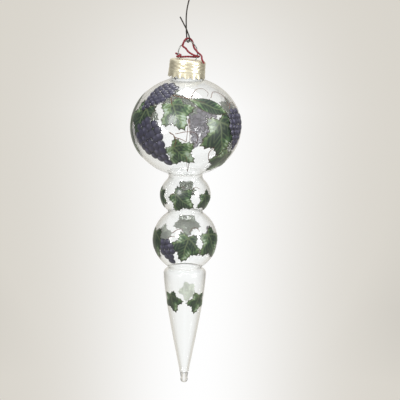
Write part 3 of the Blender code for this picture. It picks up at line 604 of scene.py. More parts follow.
def stem_finish(prints):
    """Printed stems: red-brown with lighter stretches."""
    made, tree, shader = finish_of("stem_print", 0.45, Coat_Weight=0.3)
    stretches = mixed(tree, noise(tree, 160.0, 3.0), prints.stem, darker(prints.stem, 2.2))
    feed(shader.inputs["Base Color"], stretches)
    return made


# ---------------------------------------------------------------- the glass's outline


def meeting_height(half_width, half_height, radius):
    """Height above a belly's middle at which it has narrowed to a radius."""
    return half_height * sqrt(1.0 - (radius / half_width) ** 2)


def oval(middle, half_width, half_height, angles, start=0.0):
    """Points on an oval: r = start + half width sin a, h = middle + half height cos a."""
    radii, heights = start + half_width * np.sin(angles), middle + half_height * np.cos(angles)
    return np.column_stack([radii, heights])


def belly(middle, half_width, half_height, top_radius, bottom_radius):
    """Points down an oval between two radii."""
    last = pi - asin(bottom_radius / half_width)
    angles = np.linspace(asin(top_radius / half_width), last, BELLY_POINTS)
    return oval(middle, half_width, half_height, angles)


def cap_top():
    cap = bpy.context.scene.ornament_cap
    return CAP_RIM + cap.height * cos(cap.tilt)


def glass_levels():
    """Heights down the glass: its seat, the globe's middle, the upper waist's top, the middles
    of the two balls, the lower waist's top and the foot of the icicle's shoulder."""
    glass, cap = bpy.context.scene.ornament_glass, bpy.context.scene.ornament_cap
    wide, high = glass.globe_radius, glass.globe_height
    seat = CAP_RIM - (cap.radius + cap.flare) * sin(cap.tilt) - CLEARANCE
    globe = seat - meeting_height(wide, high, cap.radius)
    upper = globe - meeting_height(wide, high, glass.upper_waist)
    wide, high = glass.small_ball_radius, glass.small_ball_height
    small = upper - glass.upper_waist_length - meeting_height(wide, high, glass.upper_waist)
    middle = small - glass.middle_waist_length - meeting_height(wide, high, glass.middle_waist)
    ball = glass.middle_ball_radius
    middle -= meeting_height(ball, ball, glass.middle_waist)
    lower = middle - meeting_height(ball, ball, glass.lower_waist)
    icicle = lower - glass.lower_waist_length - glass.icicle_shoulder
    return seat, globe, upper, small, middle, lower, icicle


def glass_outline():
    """Outer side of the glass from its lip to its tip, as softened (radius, height) pairs."""
    glass, cap = bpy.context.scene.ornament_glass, bpy.context.scene.ornament_cap
    seat, globe, upper, small, middle, lower, icicle = glass_levels()
    ball, bend = glass.middle_ball_radius, glass.bend
    neck, waist = glass.neck_radius, glass.upper_waist
    neck_top = cap_top() - cap.sheet - neck * tan(cap.tilt) - CLEARANCE
    wide = cap.radius - neck
    bottom = icicle + glass.icicle_shoulder
    angles = np.linspace(0.0, 0.5 * pi, 12)[1:]
    reach = glass.icicle_radius - glass.lower_waist
    shoulder = oval(icicle, reach, glass.icicle_shoulder, angles, glass.lower_waist)
    share = np.linspace(0.0, 1.0, 60)[1:, None]
    rest = 1.0 - share
    end = icicle - glass.icicle_length
    taper = (
        rest**3 * np.array([glass.icicle_radius, icicle])
        + 3 * rest**2 * share * (0.93 * glass.icicle_radius, icicle - 0.25 * glass.icicle_length)
        + 3 * rest * share**2 * (0.57 * glass.icicle_radius, icicle - 0.58 * glass.icicle_length)
        + share**3 * np.array([glass.tip_radius, end])
    )
    bead_middle = end - sqrt(1 - (glass.tip_radius / glass.bead_radius) ** 2) * glass.bead_height
    angles = np.linspace(radians(75.0), pi, 20)
    bead = oval(bead_middle, glass.bead_radius, glass.bead_height, angles)
    small_ball = (small, glass.small_ball_radius, glass.small_ball_height)
    line = [
        [(neck, neck_top - 0.5 * glass.wall)],
        [(neck, seat + glass.neck_flare)],
        [(neck + 0.2 * wide, seat + 0.5 * glass.neck_flare)],
        belly(globe, glass.globe_radius, glass.globe_height, neck + 0.6 * wide, waist + bend),
        [(waist, upper - 0.25 * glass.upper_waist_length)],
        [(waist, upper - 0.75 * glass.upper_waist_length)],
        belly(*small_ball, waist + bend, glass.middle_waist + bend),
        belly(middle, ball, ball, glass.middle_waist + bend, glass.lower_waist + bend),
        [(glass.lower_waist, 0.5 * (lower + bottom))],
        shoulder,
        taper,
        bead,
    ]
    return thinned(softened(even_steps(np.vstack(line), OUTLINE_STEP), OUTLINE_SOFTNESS))


def softened(line, steps):
    """A line averaged with a bell curve some steps wide, mirrored at the lip and the axis."""
    reach = round(4 * steps)
    before = 2 * line[0] - line[1 : reach + 1][::-1]
    after = line[-reach - 1 : -1][::-1] * (-1.0, 1.0)
    padded = np.vstack([before, line, after])
    weights = np.exp(-0.5 * (np.arange(-reach, reach + 1) / steps) ** 2)
    weights = weights / weights.sum()
    return np.column_stack([np.convolve(column, weights, "valid") for column in padded.T])


def thinned(line):
    """The same line with fewer points where it is straight."""
    run = np.gradient(line, axis=0)
    bend = np.abs(np.gradient(np.unwrap(np.arctan2(run[:, 1], run[:, 0]))))
    effort = np.cumsum(np.linalg.norm(run, axis=1) / THINNED_STEP + bend / THINNED_BEND)
    wanted = np.linspace(effort[0], effort[-1], round(effort[-1] - effort[0]) + 1)
    return read_off(line, effort, wanted)


def outward(line):
    """Unit normals of an outline that runs downwards."""
    run = unit(np.gradient(line, axis=0))
    return np.column_stack([-run[:, 1], run[:, 0]])


def glass_profile():
    """Both walls of the glass: up the hollow from its round end, over the lip, down outside."""
    glass = bpy.context.scene.ornament_glass
    outside = glass_outline()
    ways = outward(outside)
    hollow = (outside[:, 0] > glass.solid_tip_radius) | (outside[:, 1] > glass_levels()[-1])
    inside = (outside - glass.wall * ways)[hollow][::-1]
    radius, level = inside[0]
    angles = np.linspace(-0.5 * pi, 0.0, 12, endpoint=False)
    pit = np.column_stack([radius * np.cos(angles), level + 1.4 * radius * np.sin(angles)])
    pit[0, 0] = 0.0
    angles = np.linspace(pi, 0.0, 9)[1:-1]
    middle = 0.5 * (inside[-1] + outside[0])
    lip = middle + 0.5 * glass.wall * np.column_stack([np.cos(angles), np.sin(angles)])
    outside[-1, 0] = 0.0
    return np.vstack([pit, inside, lip, outside])


class GlassSurface:
    """The glass's outer side, on which the paper lies."""

    def __init__(self):
        self.line = glass_outline()
        self.along = distances(self.line)
        self.ways = outward(self.line)
        glass, prints = bpy.context.scene.ornament_glass, bpy.context.scene.ornament_prints
        _, globe, _, small, middle, _, icicle = glass_levels()
        self.bellies = {  # middle, half height and usual half length of a cut-out
            "globe": (globe, glass.globe_height, prints.globe),
            "small_ball": (small, glass.small_ball_height, prints.small_ball),
            "middle_ball": (middle, glass.middle_ball_radius, prints.middle_ball),
            "icicle": (icicle, glass.icicle_length, prints.icicle),
        }

    def points(self, azimuth, height, right, up, lift):
        """Points that are right and up from a place on the glass, lifted off it.

        With s the outline's length at height, less up: r = r(s) + lift n_r(s),
        a = azimuth + right / r(s), x = r sin a, y = -r cos a, z = z(s) + lift n_z(s).
        """
        start = np.interp(-height, -self.line[:, 1], self.along)
        spot = start - up
        radius = np.interp(spot, self.along, self.line[:, 0])
        level = np.interp(spot, self.along, self.line[:, 1])
        way_out = np.interp(spot, self.along, self.ways[:, 0])
        way_up = np.interp(spot, self.along, self.ways[:, 1])
        angle = azimuth + right / radius
        reach = radius + lift * way_out
        return np.stack([reach * np.sin(angle), -reach * np.cos(angle), level + lift * way_up], -1)

    def laid(self, place, cut, along, across, lift):
        """Points of a cut-out, given along its tip and across it, laid on the glass."""
        middle, half_height, usual = self.bellies[place]
        along, across, lean = along * cut.size * usual, across * cut.size * usual, radians(cut.lean)
        right = along * sin(lean) + across * cos(lean)
        up = -along * cos(lean) + across * sin(lean)
        height = middle + cut.height * half_height
        return self.points(radians(cut.azimuth), height, right, up, lift)


# ---------------------------------------------------------------- wires and cord


def hook_route(wires):
    """The hook's centre line from the crook's free end down the shaft and round the eye."""
    top = wires.hook_radius
    crook, lip = wires.crook_radius, wires.crook_lip
    route = [
        (-crook - lip, 0.0, top - wires.crook_drop),
        (-crook - 0.15 * lip, 0.0, top - 0.78 * wires.crook_drop),
    ]
    for step in range(5):
        angle = pi - step * pi / 4
        route.append((crook * cos(angle), 0.0, top - crook + crook * sin(angle)))
    shaft = EYE_BOTTOM + wires.hook_height - crook
    straight = shaft - (EYE_BOTTOM + 4 * wires.eye_radius)
    route += [
        (0.70 * crook, 0.0, shaft - 0.25 * straight),
        (0.20 * crook, 0.0, shaft - 0.49 * straight),
        (-0.04 * crook, 0.25 * wires.shaft_set, shaft - 0.72 * straight),
        (-0.04 * crook, wires.shaft_set, shaft - straight),
    ]
    across = np.array([cos(wires.eye_turn), sin(wires.eye_turn), 0.0])
    eye = wires.eye_radius
    middle = np.array([LEAN, 0.0, EYE_BOTTOM + eye])
    route.append(middle - 1.02 * eye * across + (0.0, 0.0, 0.8 * eye))
    for step in range(5):
        angle = pi + step * pi / 4
        route.append(middle + eye * cos(angle) * across + (0.0, 0.0, eye * sin(angle)))
    front = -(2 * wires.hook_radius + 2 * CLEARANCE)
    rise = wires.eye_end_height - 2 * eye
    for share, reach in ((0.0, 0.12), (0.16, -0.03), (0.35, -0.20), (0.66, -0.57), (1.0, -1.0)):
        depth = front if share else front + sin(wires.eye_turn) * eye * 0.35
        side = LEAN + reach * wires.eye_end_reach
        route.append((side, depth, EYE_BOTTOM + 2 * eye + share * rise))
    return route


def bail_side(wires, side):
    """Half of the bail's centre line, from near its top down to the end of one leg."""
    glass, top = bpy.context.scene.ornament_glass, cap_top()
    grip = glass.neck_radius - glass.wall - CLEARANCE - wires.bail_radius
    wide, foot = wires.bail_half_width, wires.foot_half_width
    loop = (  # out from the middle, and height as a share of the loop's
        (0.37 * wide, 0.92),
        (0.69 * wide, 0.76),
        (0.92 * wide, 0.57),
        (wide, 0.37),
        (0.513 * (wide + foot), 0.18),
        (foot, 0.0),
        (foot, -0.16 * wires.leg_depth / wires.bail_height),
    )
    points = [(LEAN + side * out, 0.0, top + share * wires.bail_height) for out, share in loop]
    grip = side * grip
    legs = (  # side, and depth as a share of the legs'
        (0.5 * (side * foot + LEAN + grip), 0.36),
        (grip, 0.62),
        (0.96 * grip, 0.80),
        (0.86 * grip, 1),
    )
    return points + [(out, 0.0, top - share * wires.leg_depth) for out, share in legs]


def bail_route(wires):
    crest = (LEAN, 0.0, cap_top() + wires.bail_height)
    return bail_side(wires, -1)[::-1] + [crest] + bail_side(wires, 1)


def cord_offset(wires, cord):
    """Cord's centre from the bail's."""
    return wires.bail_radius + 1.5 * CLEARANCE + cord.radius


def wrap_bottom(wires, cord):
    """Height of a wrap's lowest turn above the cap."""
    tilt = bpy.context.scene.ornament_cap.tilt
    return cord.radius + CLEARANCE + 1.4 * wires.foot_half_width * tan(tilt)


def wrap_points(wires, cord, side, first_angle, turns, first_height, last_height):
    """A helix round a foot of the bail: its angle falls as its height goes from first to last."""
    share = np.linspace(0.0, 1.0, round(24 * turns) + 1)
    angle = first_angle - 2 * pi * turns * share
    height = first_height + (last_height - first_height) * share
    widen = wires.bail_half_width - wires.foot_half_width
    rise = np.minimum(1.0, height / (0.37 * wires.bail_height))
    middle = LEAN + side * (wires.foot_half_width + widen * np.sin(0.5 * pi * rise))
    offset = cord_offset(wires, cord)
    x, y = middle + offset * np.cos(angle), offset * np.sin(angle)
    return np.column_stack([x, y, cap_top() + height])


def twist_points(wires, cord, line, first_angle, last_angle, count):
    """The cord twisting round the bail: line + offset (outward cos a + front sin a)."""
    share = np.linspace(0.0, 1.0, count)
    index = np.round(share * (len(line) - 1)).astype(int)
    run = unit(line[np.minimum(index + 1, len(line) - 1)] - line[np.maximum(index - 1, 0)])
    outside = np.column_stack([-run[:, 2], 0 * share, run[:, 0]])
    angle = (first_angle + (last_angle - first_angle) * share)[:, None]
    away = outside * np.cos(angle) + np.array([0.0, -1.0, 0.0]) * np.sin(angle)
    return line[index] + cord_offset(wires, cord) * away


def cord_route(wires, cord):
    """Round the left foot, across behind, half round the right foot, up across the loop, over
    its top, down its right side and over the cap's edge."""
    cap, top = bpy.context.scene.ornament_cap, cap_top()
    low = wrap_bottom(wires, cord)
    pitch = 2 * cord.radius + cord.wrap_gap
    left_top = low + cord.left_turns * pitch
    back = 0.5 * pi
    left = wrap_points(
        wires, cord, -1, back + 2 * pi * cord.left_turns, cord.left_turns, left_top, low
    )
    right = wrap_points(
        wires, cord, 1, back, cord.right_turns, low, low + cord.right_turns * pitch
    )
    lead = 2 * cord.radius
    start = left[:1] + unit(left[:1] - left[1:2]) * lead
    leave = unit(right[-1] - right[-2])
    behind = 0.5 * (left[-1] + right[0]) + (0.0, -0.3 * cord.radius, 0.5 * cord.radius)
    wide, high = wires.bail_half_width, wires.bail_height
    front = -1.08 * cord_offset(wires, cord)
    across = [
        right[-1] + leave * 1.5 * lead,
        (LEAN + 0.06 * wide, front, top + 0.40 * high),
        (LEAN - 0.26 * wide, front, top + 0.60 * high),
        (LEAN - 0.54 * wide, front, top + 0.70 * high),
    ]
    line = smooth_line(bail_route(wires), 0.02 * high)
    over = line[(line[:, 0] > LEAN - 0.72 * wide) & (line[:, 2] > top + 0.38 * high)]
    twist = twist_points(wires, cord, over, 0.8 * pi, -1.5 * pi, 14)[1:]
    out, ahead = cos(cord.tail_angle) * cap.radius, -sin(cord.tail_angle) * cap.radius
    edge = top - out * tan(cap.tilt)
    beside = wires.foot_half_width + cord_offset(wires, cord) + 2.4 * cord.radius
    past = 1.0 + 1.3 * cord.radius / cap.radius
    tail = [
        (LEAN + beside, 0.1 * ahead, top + 0.25 * high),
        (LEAN + 0.5 * (beside + out), 0.45 * ahead, edge + 4.4 * cord.radius),
        (LEAN + 0.94 * out, 0.82 * ahead, edge + 2.4 * cord.radius),
        (LEAN + out, past * ahead, edge + 0.4 * cord.radius),
        (LEAN + past * out, past * ahead, edge - cord.tail_drop),
    ]
    return np.vstack([start, left[::2], behind[None], right[::2], across, twist, tail])


# ---------------------------------------------------------------- cut-outs


def vine_outline(angle):
    """A toothed five-lobed leaf: r = (five swells) (a longer tip) (pointed teeth)."""
    teeth = 1.0 - 0.13 * np.abs(np.sin(12.5 * angle)) ** 0.8
    return (0.85 + 0.17 * np.cos(5 * angle)) * (0.93 + 0.14 * np.cos(angle)) * teeth


def blade_outline(angle):
    """A narrow pointed leaf: two parabolas that meet at its ends, with a wavy edge."""
    width = 0.36
    across, along = np.abs(np.sin(angle)), np.abs(np.cos(angle))
    bend = np.maximum(width * along**2, 1e-6)
    plain = (np.sqrt(across**2 + 4 * width * bend) - across) / (2 * bend)
    return plain * (1.0 - 0.03 * np.abs(np.sin(9 * angle)))


def bunch_berries(rows):
    """Middles of the berries of a bunch and their radius, rows shifted by half a berry."""
    berry = 1.0 / (len(rows) * 0.86 + 0.14)
    along = [-1.0 + berry + row * BERRY_ROW * berry for row in range(len(rows))]
    across = [spot - 0.5 * (wide - 1) for wide in rows for spot in range(wide)]
    return np.repeat(along, rows), np.array(across) * BERRY_COLUMN * berry, berry


# Berries in each row of a bunch
BUNCHES = {"bunch": (3, 5, 5, 5, 4, 3, 2, 1), "small_bunch": (2, 3, 3, 2, 1)}

Cutout = namedtuple("Cutout", "name shape azimuth height size lean layer tone")

# For each belly its cut-outs: name, shape, azimuth from the front in degrees (+ to the right),
# height above the belly's middle as a share of its half height, half length as a share of the
# belly's usual one, lean of the tip in degrees from straight down (+ to the right), pasted
# layer, lightness of the print
CUTOUTS = {
    "globe": [
        ("globe_grapes_upper", "bunch", -42, 0.66, 0.90, -34, 3, 0.6),
        ("globe_grapes_lower", "bunch", -36, -0.24, 1.15, 30, 3, 0.8),
        ("globe_grapes_right", "bunch", 62, 0.02, 0.92, -6, 3, 0.9),
        ("globe_grapes_back", "bunch", 163, -0.12, 1.08, 12, 3, 0.9),
        ("globe_grapes_back_left", "bunch", -118, -0.30, 0.98, -20, 3, 0.9),
        ("globe_leaf_left_high", "blade", -82, 0.34, 1.00, 20, 0, 0.16),
        ("globe_leaf_left", "leaf", -52, 0.27, 1.05, -14, 2, 0.14),
        ("globe_leaf_left_low", "blade", -76, -0.20, 1.00, 10, 1, 0.18),
        ("globe_leaf_light", "leaf", -8, -0.36, 0.85, 48, 0, 0.50),
        ("globe_leaf_centre", "leaf", -12, 0.42, 0.92, 30, 0, 0.46),
        ("globe_leaf_right_high", "blade", 28, 0.50, 0.95, 66, 1, 0.20),
        ("globe_leaf_right", "leaf", 38, 0.00, 1.20, 10, 0, 0.24),
        ("globe_leaf_right_low", "leaf", 50, -0.56, 0.85, -24, 1, 0.26),
        ("globe_leaf_back", "leaf", 186, 0.40, 1.08, 20, 0, 0.30),
        ("globe_leaf_back_right", "leaf", 118, 0.30, 0.98, -30, 0, 0.22),
        ("globe_leaf_back_low", "leaf", 112, -0.40, 0.90, 24, 1, 0.34),
        ("globe_leaf_back_left", "leaf", -130, 0.24, 1.00, 14, 1, 0.18),
    ],
    "small_ball": [
        ("small_ball_leaf_left", "small_leaf", -72, 0.00, 0.92, -10, 0, 0.10),
        ("small_ball_leaf_front", "small_leaf", -12, 0.02, 1.12, 52, 1, 0.22),
        ("small_ball_leaf_right", "small_leaf", 52, -0.10, 0.92, 20, 0, 0.14),
        ("small_ball_leaf_back", "small_leaf", 178, 0.05, 0.96, 0, 0, 0.24),
    ],
    "middle_ball": [
        ("middle_ball_leaf_left", "leaf", -66, 0.06, 1.04, 8, 0, 0.08),
        ("middle_ball_grapes_left", "small_bunch", -32, -0.20, 0.72, 14, 2, 0.5),
        ("middle_ball_leaf_front", "leaf", 2, 0.04, 1.00, -14, 1, 0.24),
        ("middle_ball_leaf_right", "leaf", 52, 0.08, 1.10, 24, 0, 0.28),
        ("middle_ball_leaf_back", "leaf", 176, 0.36, 0.92, 0, 0, 0.25),
        ("middle_ball_grapes_back", "small_bunch", 122, -0.12, 0.72, -10, 2, 0.8),
        ("middle_ball_leaf_back_left", "small_leaf", -130, 0.00, 0.86, -16, 1, 0.22),
    ],
    "icicle": [
        ("icicle_leaf_left", "small_leaf", -42, -0.22, 1.00, 16, 0, 0.22),
        ("icicle_leaf_right", "small_leaf", 42, -0.23, 1.00, -12, 0, 0.30),
        ("icicle_leaf_back", "small_leaf", 168, -0.21, 0.90, 10, 0, 0.28),
    ],
}

# Tips of a vine leaf's lobes, as angles from its own tip
LOBES = np.radians([0.0, 72.0, -72.0, 144.0, -144.0])


def veins_of(shape, along, across):
    """How near a point of a leaf is to a vein, and how far from one side vein to the next.

    Main veins are straight from the stalk to each lobe's tip, and side veins leave them at an
    angle at even steps. Each is a bell curve of the distance to it. Both go from 0 to 1.
    """
    if shape == "blade":
        stalk, tips = np.array([-0.98, 0.0]), np.array([[0.98, 0.0]])
    else:
        reach = vine_outline(LOBES)
        stalk = np.array([-0.40, 0.0])
        tips = np.column_stack([reach * np.cos(LOBES), reach * np.sin(LOBES)])
    sway = 0.025 * np.stack([np.sin(6 * across + 2 * along), np.sin(7 * along + across)], axis=-1)
    spots = (np.stack([along, across], axis=-1) + sway)[..., None, :]
    runs = tips - stalk
    lengths = np.linalg.norm(runs, axis=1)
    share = np.clip(((spots - stalk) * runs).sum(-1) / lengths**2, 0.0, 1.0)
    away = np.linalg.norm(spots - stalk - share[..., None] * runs, axis=-1)
    main = np.exp(-((away / (0.040 - 0.022 * share)) ** 2)).max(axis=-1)
    nearest = away.argmin(axis=-1)[..., None]
    place = np.take_along_axis(share * lengths, nearest, axis=-1)[..., 0]
    apart = away.min(axis=-1)
    phase = (place - 0.9 * apart) / 0.19
    side = np.exp(-(((phase - np.round(phase)) / 0.13) ** 2)) * (apart < 0.34)
    return np.maximum(main, 0.55 * side), phase - np.floor(phase)


def paper_faces(cut, grid):
    """Both faces of a sheet, from its middle out over the front and back over the rear.

    Gives shares of the outline, angles, which rows are in front, heights off the glass and a
    material number for each row of faces.
    """
    prints, (corners, rings) = bpy.context.scene.ornament_prints, grid
    front = np.linspace(0.0, 1.0, rings + 1)
    shares = np.concatenate([front, front[::-1]])[:, None]
    angles = circle(corners)[None, :]
    outer = (np.arange(len(shares)) <= rings)[:, None]
    lift = prints.lift + cut.layer * prints.layer + prints.paper * outer
    return shares, angles, outer, lift, (np.arange(len(shares) - 1) > rings).astype(int)


def pasted(cut, points, u, v, values, slots):
    """A cut-out's object. Its UV map has u and v, which go from -1 to 1, brought to 0 to 1."""
    uv = np.stack([0.5 + 0.5 * u, 0.5 + 0.5 * v], axis=-1)
    uv = np.concatenate([uv, uv[:, :1]], axis=1)
    return mesh_of(cut.name + "_print", points, uv=uv, values=values, slots=slots)


def leaf_sheet(surface, place, cut):
    """A leaf: r = half length, share and outline, both faces a paper's thickness apart."""
    shares, angles, _, lift, slots = paper_faces(cut, LEAF_GRID)
    reach = shares * (blade_outline if cut.shape == "blade" else vine_outline)(angles)
    along, across = reach * np.cos(angles), reach * np.sin(angles)
    points = surface.laid(place, cut, along, across, lift)
    vein, fold = veins_of(cut.shape, along, across)
    edge = np.clip((shares - 0.935) / 0.03, 0.0, 1.0)
    values = {"vein": vein, "fold": fold, "edge": edge, "tone": cut.tone}
    return pasted(cut, points[None], along, across, values, slots)


def berry_domes(surface, place, cut, random):
    """A bunch: each berry a low dome, z = top (1 - s^2), on a disc that closes it below."""
    along, across, berry = bunch_berries(BUNCHES[cut.shape])
    many = len(along)
    jitter = random.uniform(-0.20, 0.20, (2, many)) * berry
    along, across = (along + jitter[0])[:, None, None], (across + jitter[1])[:, None, None]
    size = berry * random.uniform(1.04, 1.28, many)[:, None, None]
    shares, angles, outer, lift, slots = paper_faces(cut, BERRY_GRID)
    forward, aside = shares * np.cos(angles), shares * np.sin(angles)
    tall = BERRY_HEIGHT * (1.0 - shares**2) * outer
    lift = lift + tall + random.uniform(0.0, BERRY_SCATTER, many)[:, None, None]
    points = surface.laid(place, cut, along + size * forward, across + size * aside, lift)
    tone = random.uniform(0.15, 1.15, many)[:, None, None]
    lean = radians(cut.lean)
    u = forward * sin(lean) + aside * cos(lean)
    v = aside * sin(lean) - forward * cos(lean)
    return pasted(cut, points, u, v, {"tone": tone}, slots)


# belly, bends of the stem as azimuth in degrees and height above the belly's middle as a
# share of its half height, width as a share of the usual
STEMS = [
    ("globe", ((-30, 0.98), (-22, 0.80), (-18, 0.62), (-16, 0.55)), 1.3),
    ("globe", ((-22, 0.80), (-4, 0.74), (14, 0.66), (24, 0.60)), 1.2),
    ("globe", ((6, 0.70), (12, 0.90), (24, 0.98), (34, 0.88), (30, 0.76)), 0.7),
    ("globe", ((34, 0.72), (44, 0.86), (56, 0.80), (60, 0.62), (52, 0.52)), 0.7),
    ("globe", ((56, 0.44), (66, 0.56), (76, 0.44), (72, 0.28)), 0.7),
    ("globe", ((-16, 0.02), (-10, -0.12), (-12, -0.26)), 1.2),
    ("globe", ((-12, -0.06), (0, -0.16), (4, -0.34), (0, -0.46)), 0.9),
    ("globe", ((-10, 0.00), (4, 0.04), (12, -0.06), (10, -0.20)), 0.8),
    ("globe", ((30, -0.30), (26, -0.46), (34, -0.62), (42, -0.58)), 0.8),
    ("globe", ((150, 0.50), (156, 0.30), (162, 0.18)), 1.2),
    ("globe", ((-126, 0.02), (-122, -0.06), (-118, -0.10)), 1.2),
    ("small_ball", ((-34, 0.16), (-20, 0.34), (-6, 0.56), (-2, 0.40)), 0.8),
    ("small_ball", ((14, 0.30), (26, 0.52), (38, 0.40)), 0.7),
    ("middle_ball", ((-24, 0.40), (-12, 0.52), (-6, 0.40), (-14, 0.34)), 0.8),
    ("middle_ball", ((8, 0.44), (18, 0.56), (28, 0.46), (24, 0.36)), 0.8),
    ("middle_ball", ((-34, 0.10), (-30, 0.24), (-18, 0.30)), 0.8),
]


def stem_points(prints, surface, stem):
    """A thin tapering stem: a round section carried along a smooth line on the glass."""
    place, bends, wide = stem
    middle, half_height, _ = surface.bellies[place]
    line = smooth_line(np.column_stack([bends, np.zeros(len(bends))]), 0.002)[:, :2]
    along = np.linspace(0.0, 1.0, STEM_POINTS)
    share = distances(line) / distances(line)[-1]
    azimuth, height = (np.interp(along, share, column) for column in line.T)
    thick = 0.5 * prints.stem_width * wide
    lift = prints.lift + 0.4 * thick
    path = surface.points(np.radians(azimuth), middle, 0.0, height * half_height, lift)
    return carried(path, thick * (1.0 - 0.55 * along[:, None]) * np.ones(STEM_COLUMNS), 3)


# ---------------------------------------------------------------- operators


class ORNAMENT_OT_stage(bpy.types.Operator):
    """Set up the camera, the pale sweep and the studio lights"""

    bl_idname = "ornament.stage"
    bl_label = "Camera, Sweep and Lights"

    def execute(self, context):
        stage = context.scene.ornament_stage
        self.camera(context.scene, stage)
        self.sweep(stage)
        self.lights()
        context.scene.view_settings.view_transform = "Standard"
        return {"FINISHED"}

    def camera(self, scene, stage):
        lens = bpy.data.cameras.new("camera")
        lens.lens = stage.lens
        lens.sensor_width = 36.0
        lens.shift_x = stage.shift
        camera = bpy.data.objects.new("camera", lens)
        scene.collection.objects.link(camera)
        place = Matrix.Translation((0.0, -stage.distance, cap_top() + stage.above_cap))
        look = Euler((0.5 * pi - stage.pitch, 0.0, 0.0)).to_matrix().to_4x4()
        camera.matrix_world = place @ look @ Matrix.Rotation(stage.roll, 4, "Z")
        scene.camera = camera

    def sweep(self, stage):
        """A floor that bends up into a round wall: a profile turned round Z."""
        floor, wide, bend, high = -0.62, 2.3, 0.7, 1.5
        cove = oval(floor + bend, bend, bend, np.linspace(pi, 0.5 * pi, 16), wide - bend)
        profile = np.vstack([[(0.0, floor)], [(0.8, floor)], cove, [(wide, high)]])
        made = mesh_of("sweep", turned(profile, 96)[::-1][None])
        finish = bpy.data.materials.new("pale_sweep")
        finish.use_nodes = True
        tree = finish.node_tree
        tree.nodes.remove(tree.nodes["Principled BSDF"])
        shade = self.shade(tree, stage)
        light = node(tree, "Emission", {"Color": shade, "Strength": 1.0})
        tree.links.new(light.outputs[0], tree.nodes["Material Output"].inputs["Surface"])
        made.data.materials.append(finish)

    def shade(self, tree, stage):
        """Brightness of the sweep: a glow behind the ornament, dark sides, a bright front.

        The glow is exp(-((u - u0) / w)^2), where u is x over the distance from the camera, and
        fades towards the top. The sides and the front go by the cosine of the angle from +Y,
        and the floor below the ornament stays pale.
        """
        where = place_on(tree, "Object")
        depth = maths("MAXIMUM", part_of(tree, where, "Y") + stage.distance, 0.1)
        aside = part_of(tree, where, "X") / depth - stage.glow_side
        square = maths("POWER", maths("ABSOLUTE", aside), 2.0)
        glow = maths("EXPONENT", square / -(stage.glow_width**2))
        down = (cap_top() - part_of(tree, where, "Z")) / depth
        pale = mixed(tree, glow * (down * 7.0 + 0.35).kept(), stage.pale, stage.bright)
        flat = vector_maths(tree, "MULTIPLY", where, (1.0, 1.0, 0.0))["Vector"]
        facing = part_of(tree, vector_maths(tree, "NORMALIZE", flat)["Vector"], "Y")
        reach = Value(vector_maths(tree, "LENGTH", flat)["Value"])
        beyond = ((reach - 0.7) / 0.4).kept()
        beside = ((0.96 - facing) / 0.26).kept() * beyond
        front = ((0.1 - facing) / 0.5).kept() * beyond
        return mixed(tree, front, mixed(tree, beside, pale, stage.side), stage.front)

    def lights(self):
        world = bpy.data.worlds.new("studio")
        world.use_nodes = True
        sky = world.node_tree.nodes["Background"].inputs
        feed(sky["Color"], (0.9, 0.92, 0.95))
        feed(sky["Strength"], 0.85)
        bpy.context.scene.world = world
        target = Vector((0.0, 0.0, -0.20))
        for name, place, size, power in (  # power in watts
            ("key", (-0.75, -1.35, 0.55), (0.45, 0.65), 22.0),
            ("fill", (1.10, -0.80, 0.15), (0.45, 0.70), 14.0),
            ("top", (0.10, 0.10, 1.10), (0.70, 0.50), 12.0),
        ):
            light = bpy.data.lights.new(name, "AREA")
            light.shape = "RECTANGLE"
            light.size, light.size_y = size
            light.energy = power
            lamp = bpy.data.objects.new(name, light)
            bpy.context.scene.collection.objects.link(lamp)
            lamp.location = place
            lamp.rotation_euler = (target - lamp.location).to_track_quat("-Z", "Y").to_euler()


class ORNAMENT_OT_cord(bpy.types.Operator):
    """Lay the red cord round the bail as one twisted length"""

    bl_idname = "ornament.cord"
    bl_label = "Red Cord"

    def execute(self, context):
        wires, cord = context.scene.ornament_wires, context.scene.ornament_cord
        path = smooth_line(cord_route(wires, cord), CORD_STEP)
        along = distances(path)
        angles = circle(CORD_COLUMNS)
        phase = angles[None, :] - 2 * pi * along[:, None] / cord.lay
        crest = np.abs(np.cos(phase))
        points = carried(path, cord.radius * (0.84 + 0.16 * crest))
        rows = len(points) - len(path)
        crest = np.pad(crest, ((rows // 2, rows // 2), (0, 0)), mode="edge")
        u = np.linspace(0.0, 1.0, CORD_COLUMNS + 1)[None, :]
        v = np.pad(along / cord.lay, (rows // 2, rows // 2), mode="edge")[:, None]
        uv = np.stack(np.broadcast_arrays(u, v), axis=-1)
        made = mesh_of("red_cord", points[None], uv=uv, values={"crest": crest})
        made.data.materials.append(cord_finish(cord))
        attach(made, "hanger")
        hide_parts("cord_left_wrap", "cord_strand", "cord_right_wrap", "cord_loop")
        return {"FINISHED"}


class ORNAMENT_OT_wires(bpy.types.Operator):
    """Bend the wire hook and the spring bail"""

    bl_idname = "ornament.wires"
    bl_label = "Hook and Bail"

    def execute(self, context):
        wires = context.scene.ornament_wires
        hook = wire_finish("dull_hook_wire", wires.hook_colour, 0.42, 300.0)
        bail = wire_finish("grey_bail_wire", wires.bail_colour, 0.34, 500.0)
        for name, route, radius, finish, body, solid in (
            ("hook_wire", hook_route(wires), wires.hook_radius, hook, "hook", "ornament_hook"),
            ("bail_wire", bail_route(wires), wires.bail_radius, bail, "hanger", "bail"),
        ):
            path = smooth_line(route, WIRE_STEP)
            radii = np.full((len(path), WIRE_COLUMNS), radius)
            made = mesh_of(name + "_bent", carried(path, radii)[None])
            made.data.materials.append(finish)
            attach(made, body)
            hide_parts(solid)
        return {"FINISHED"}


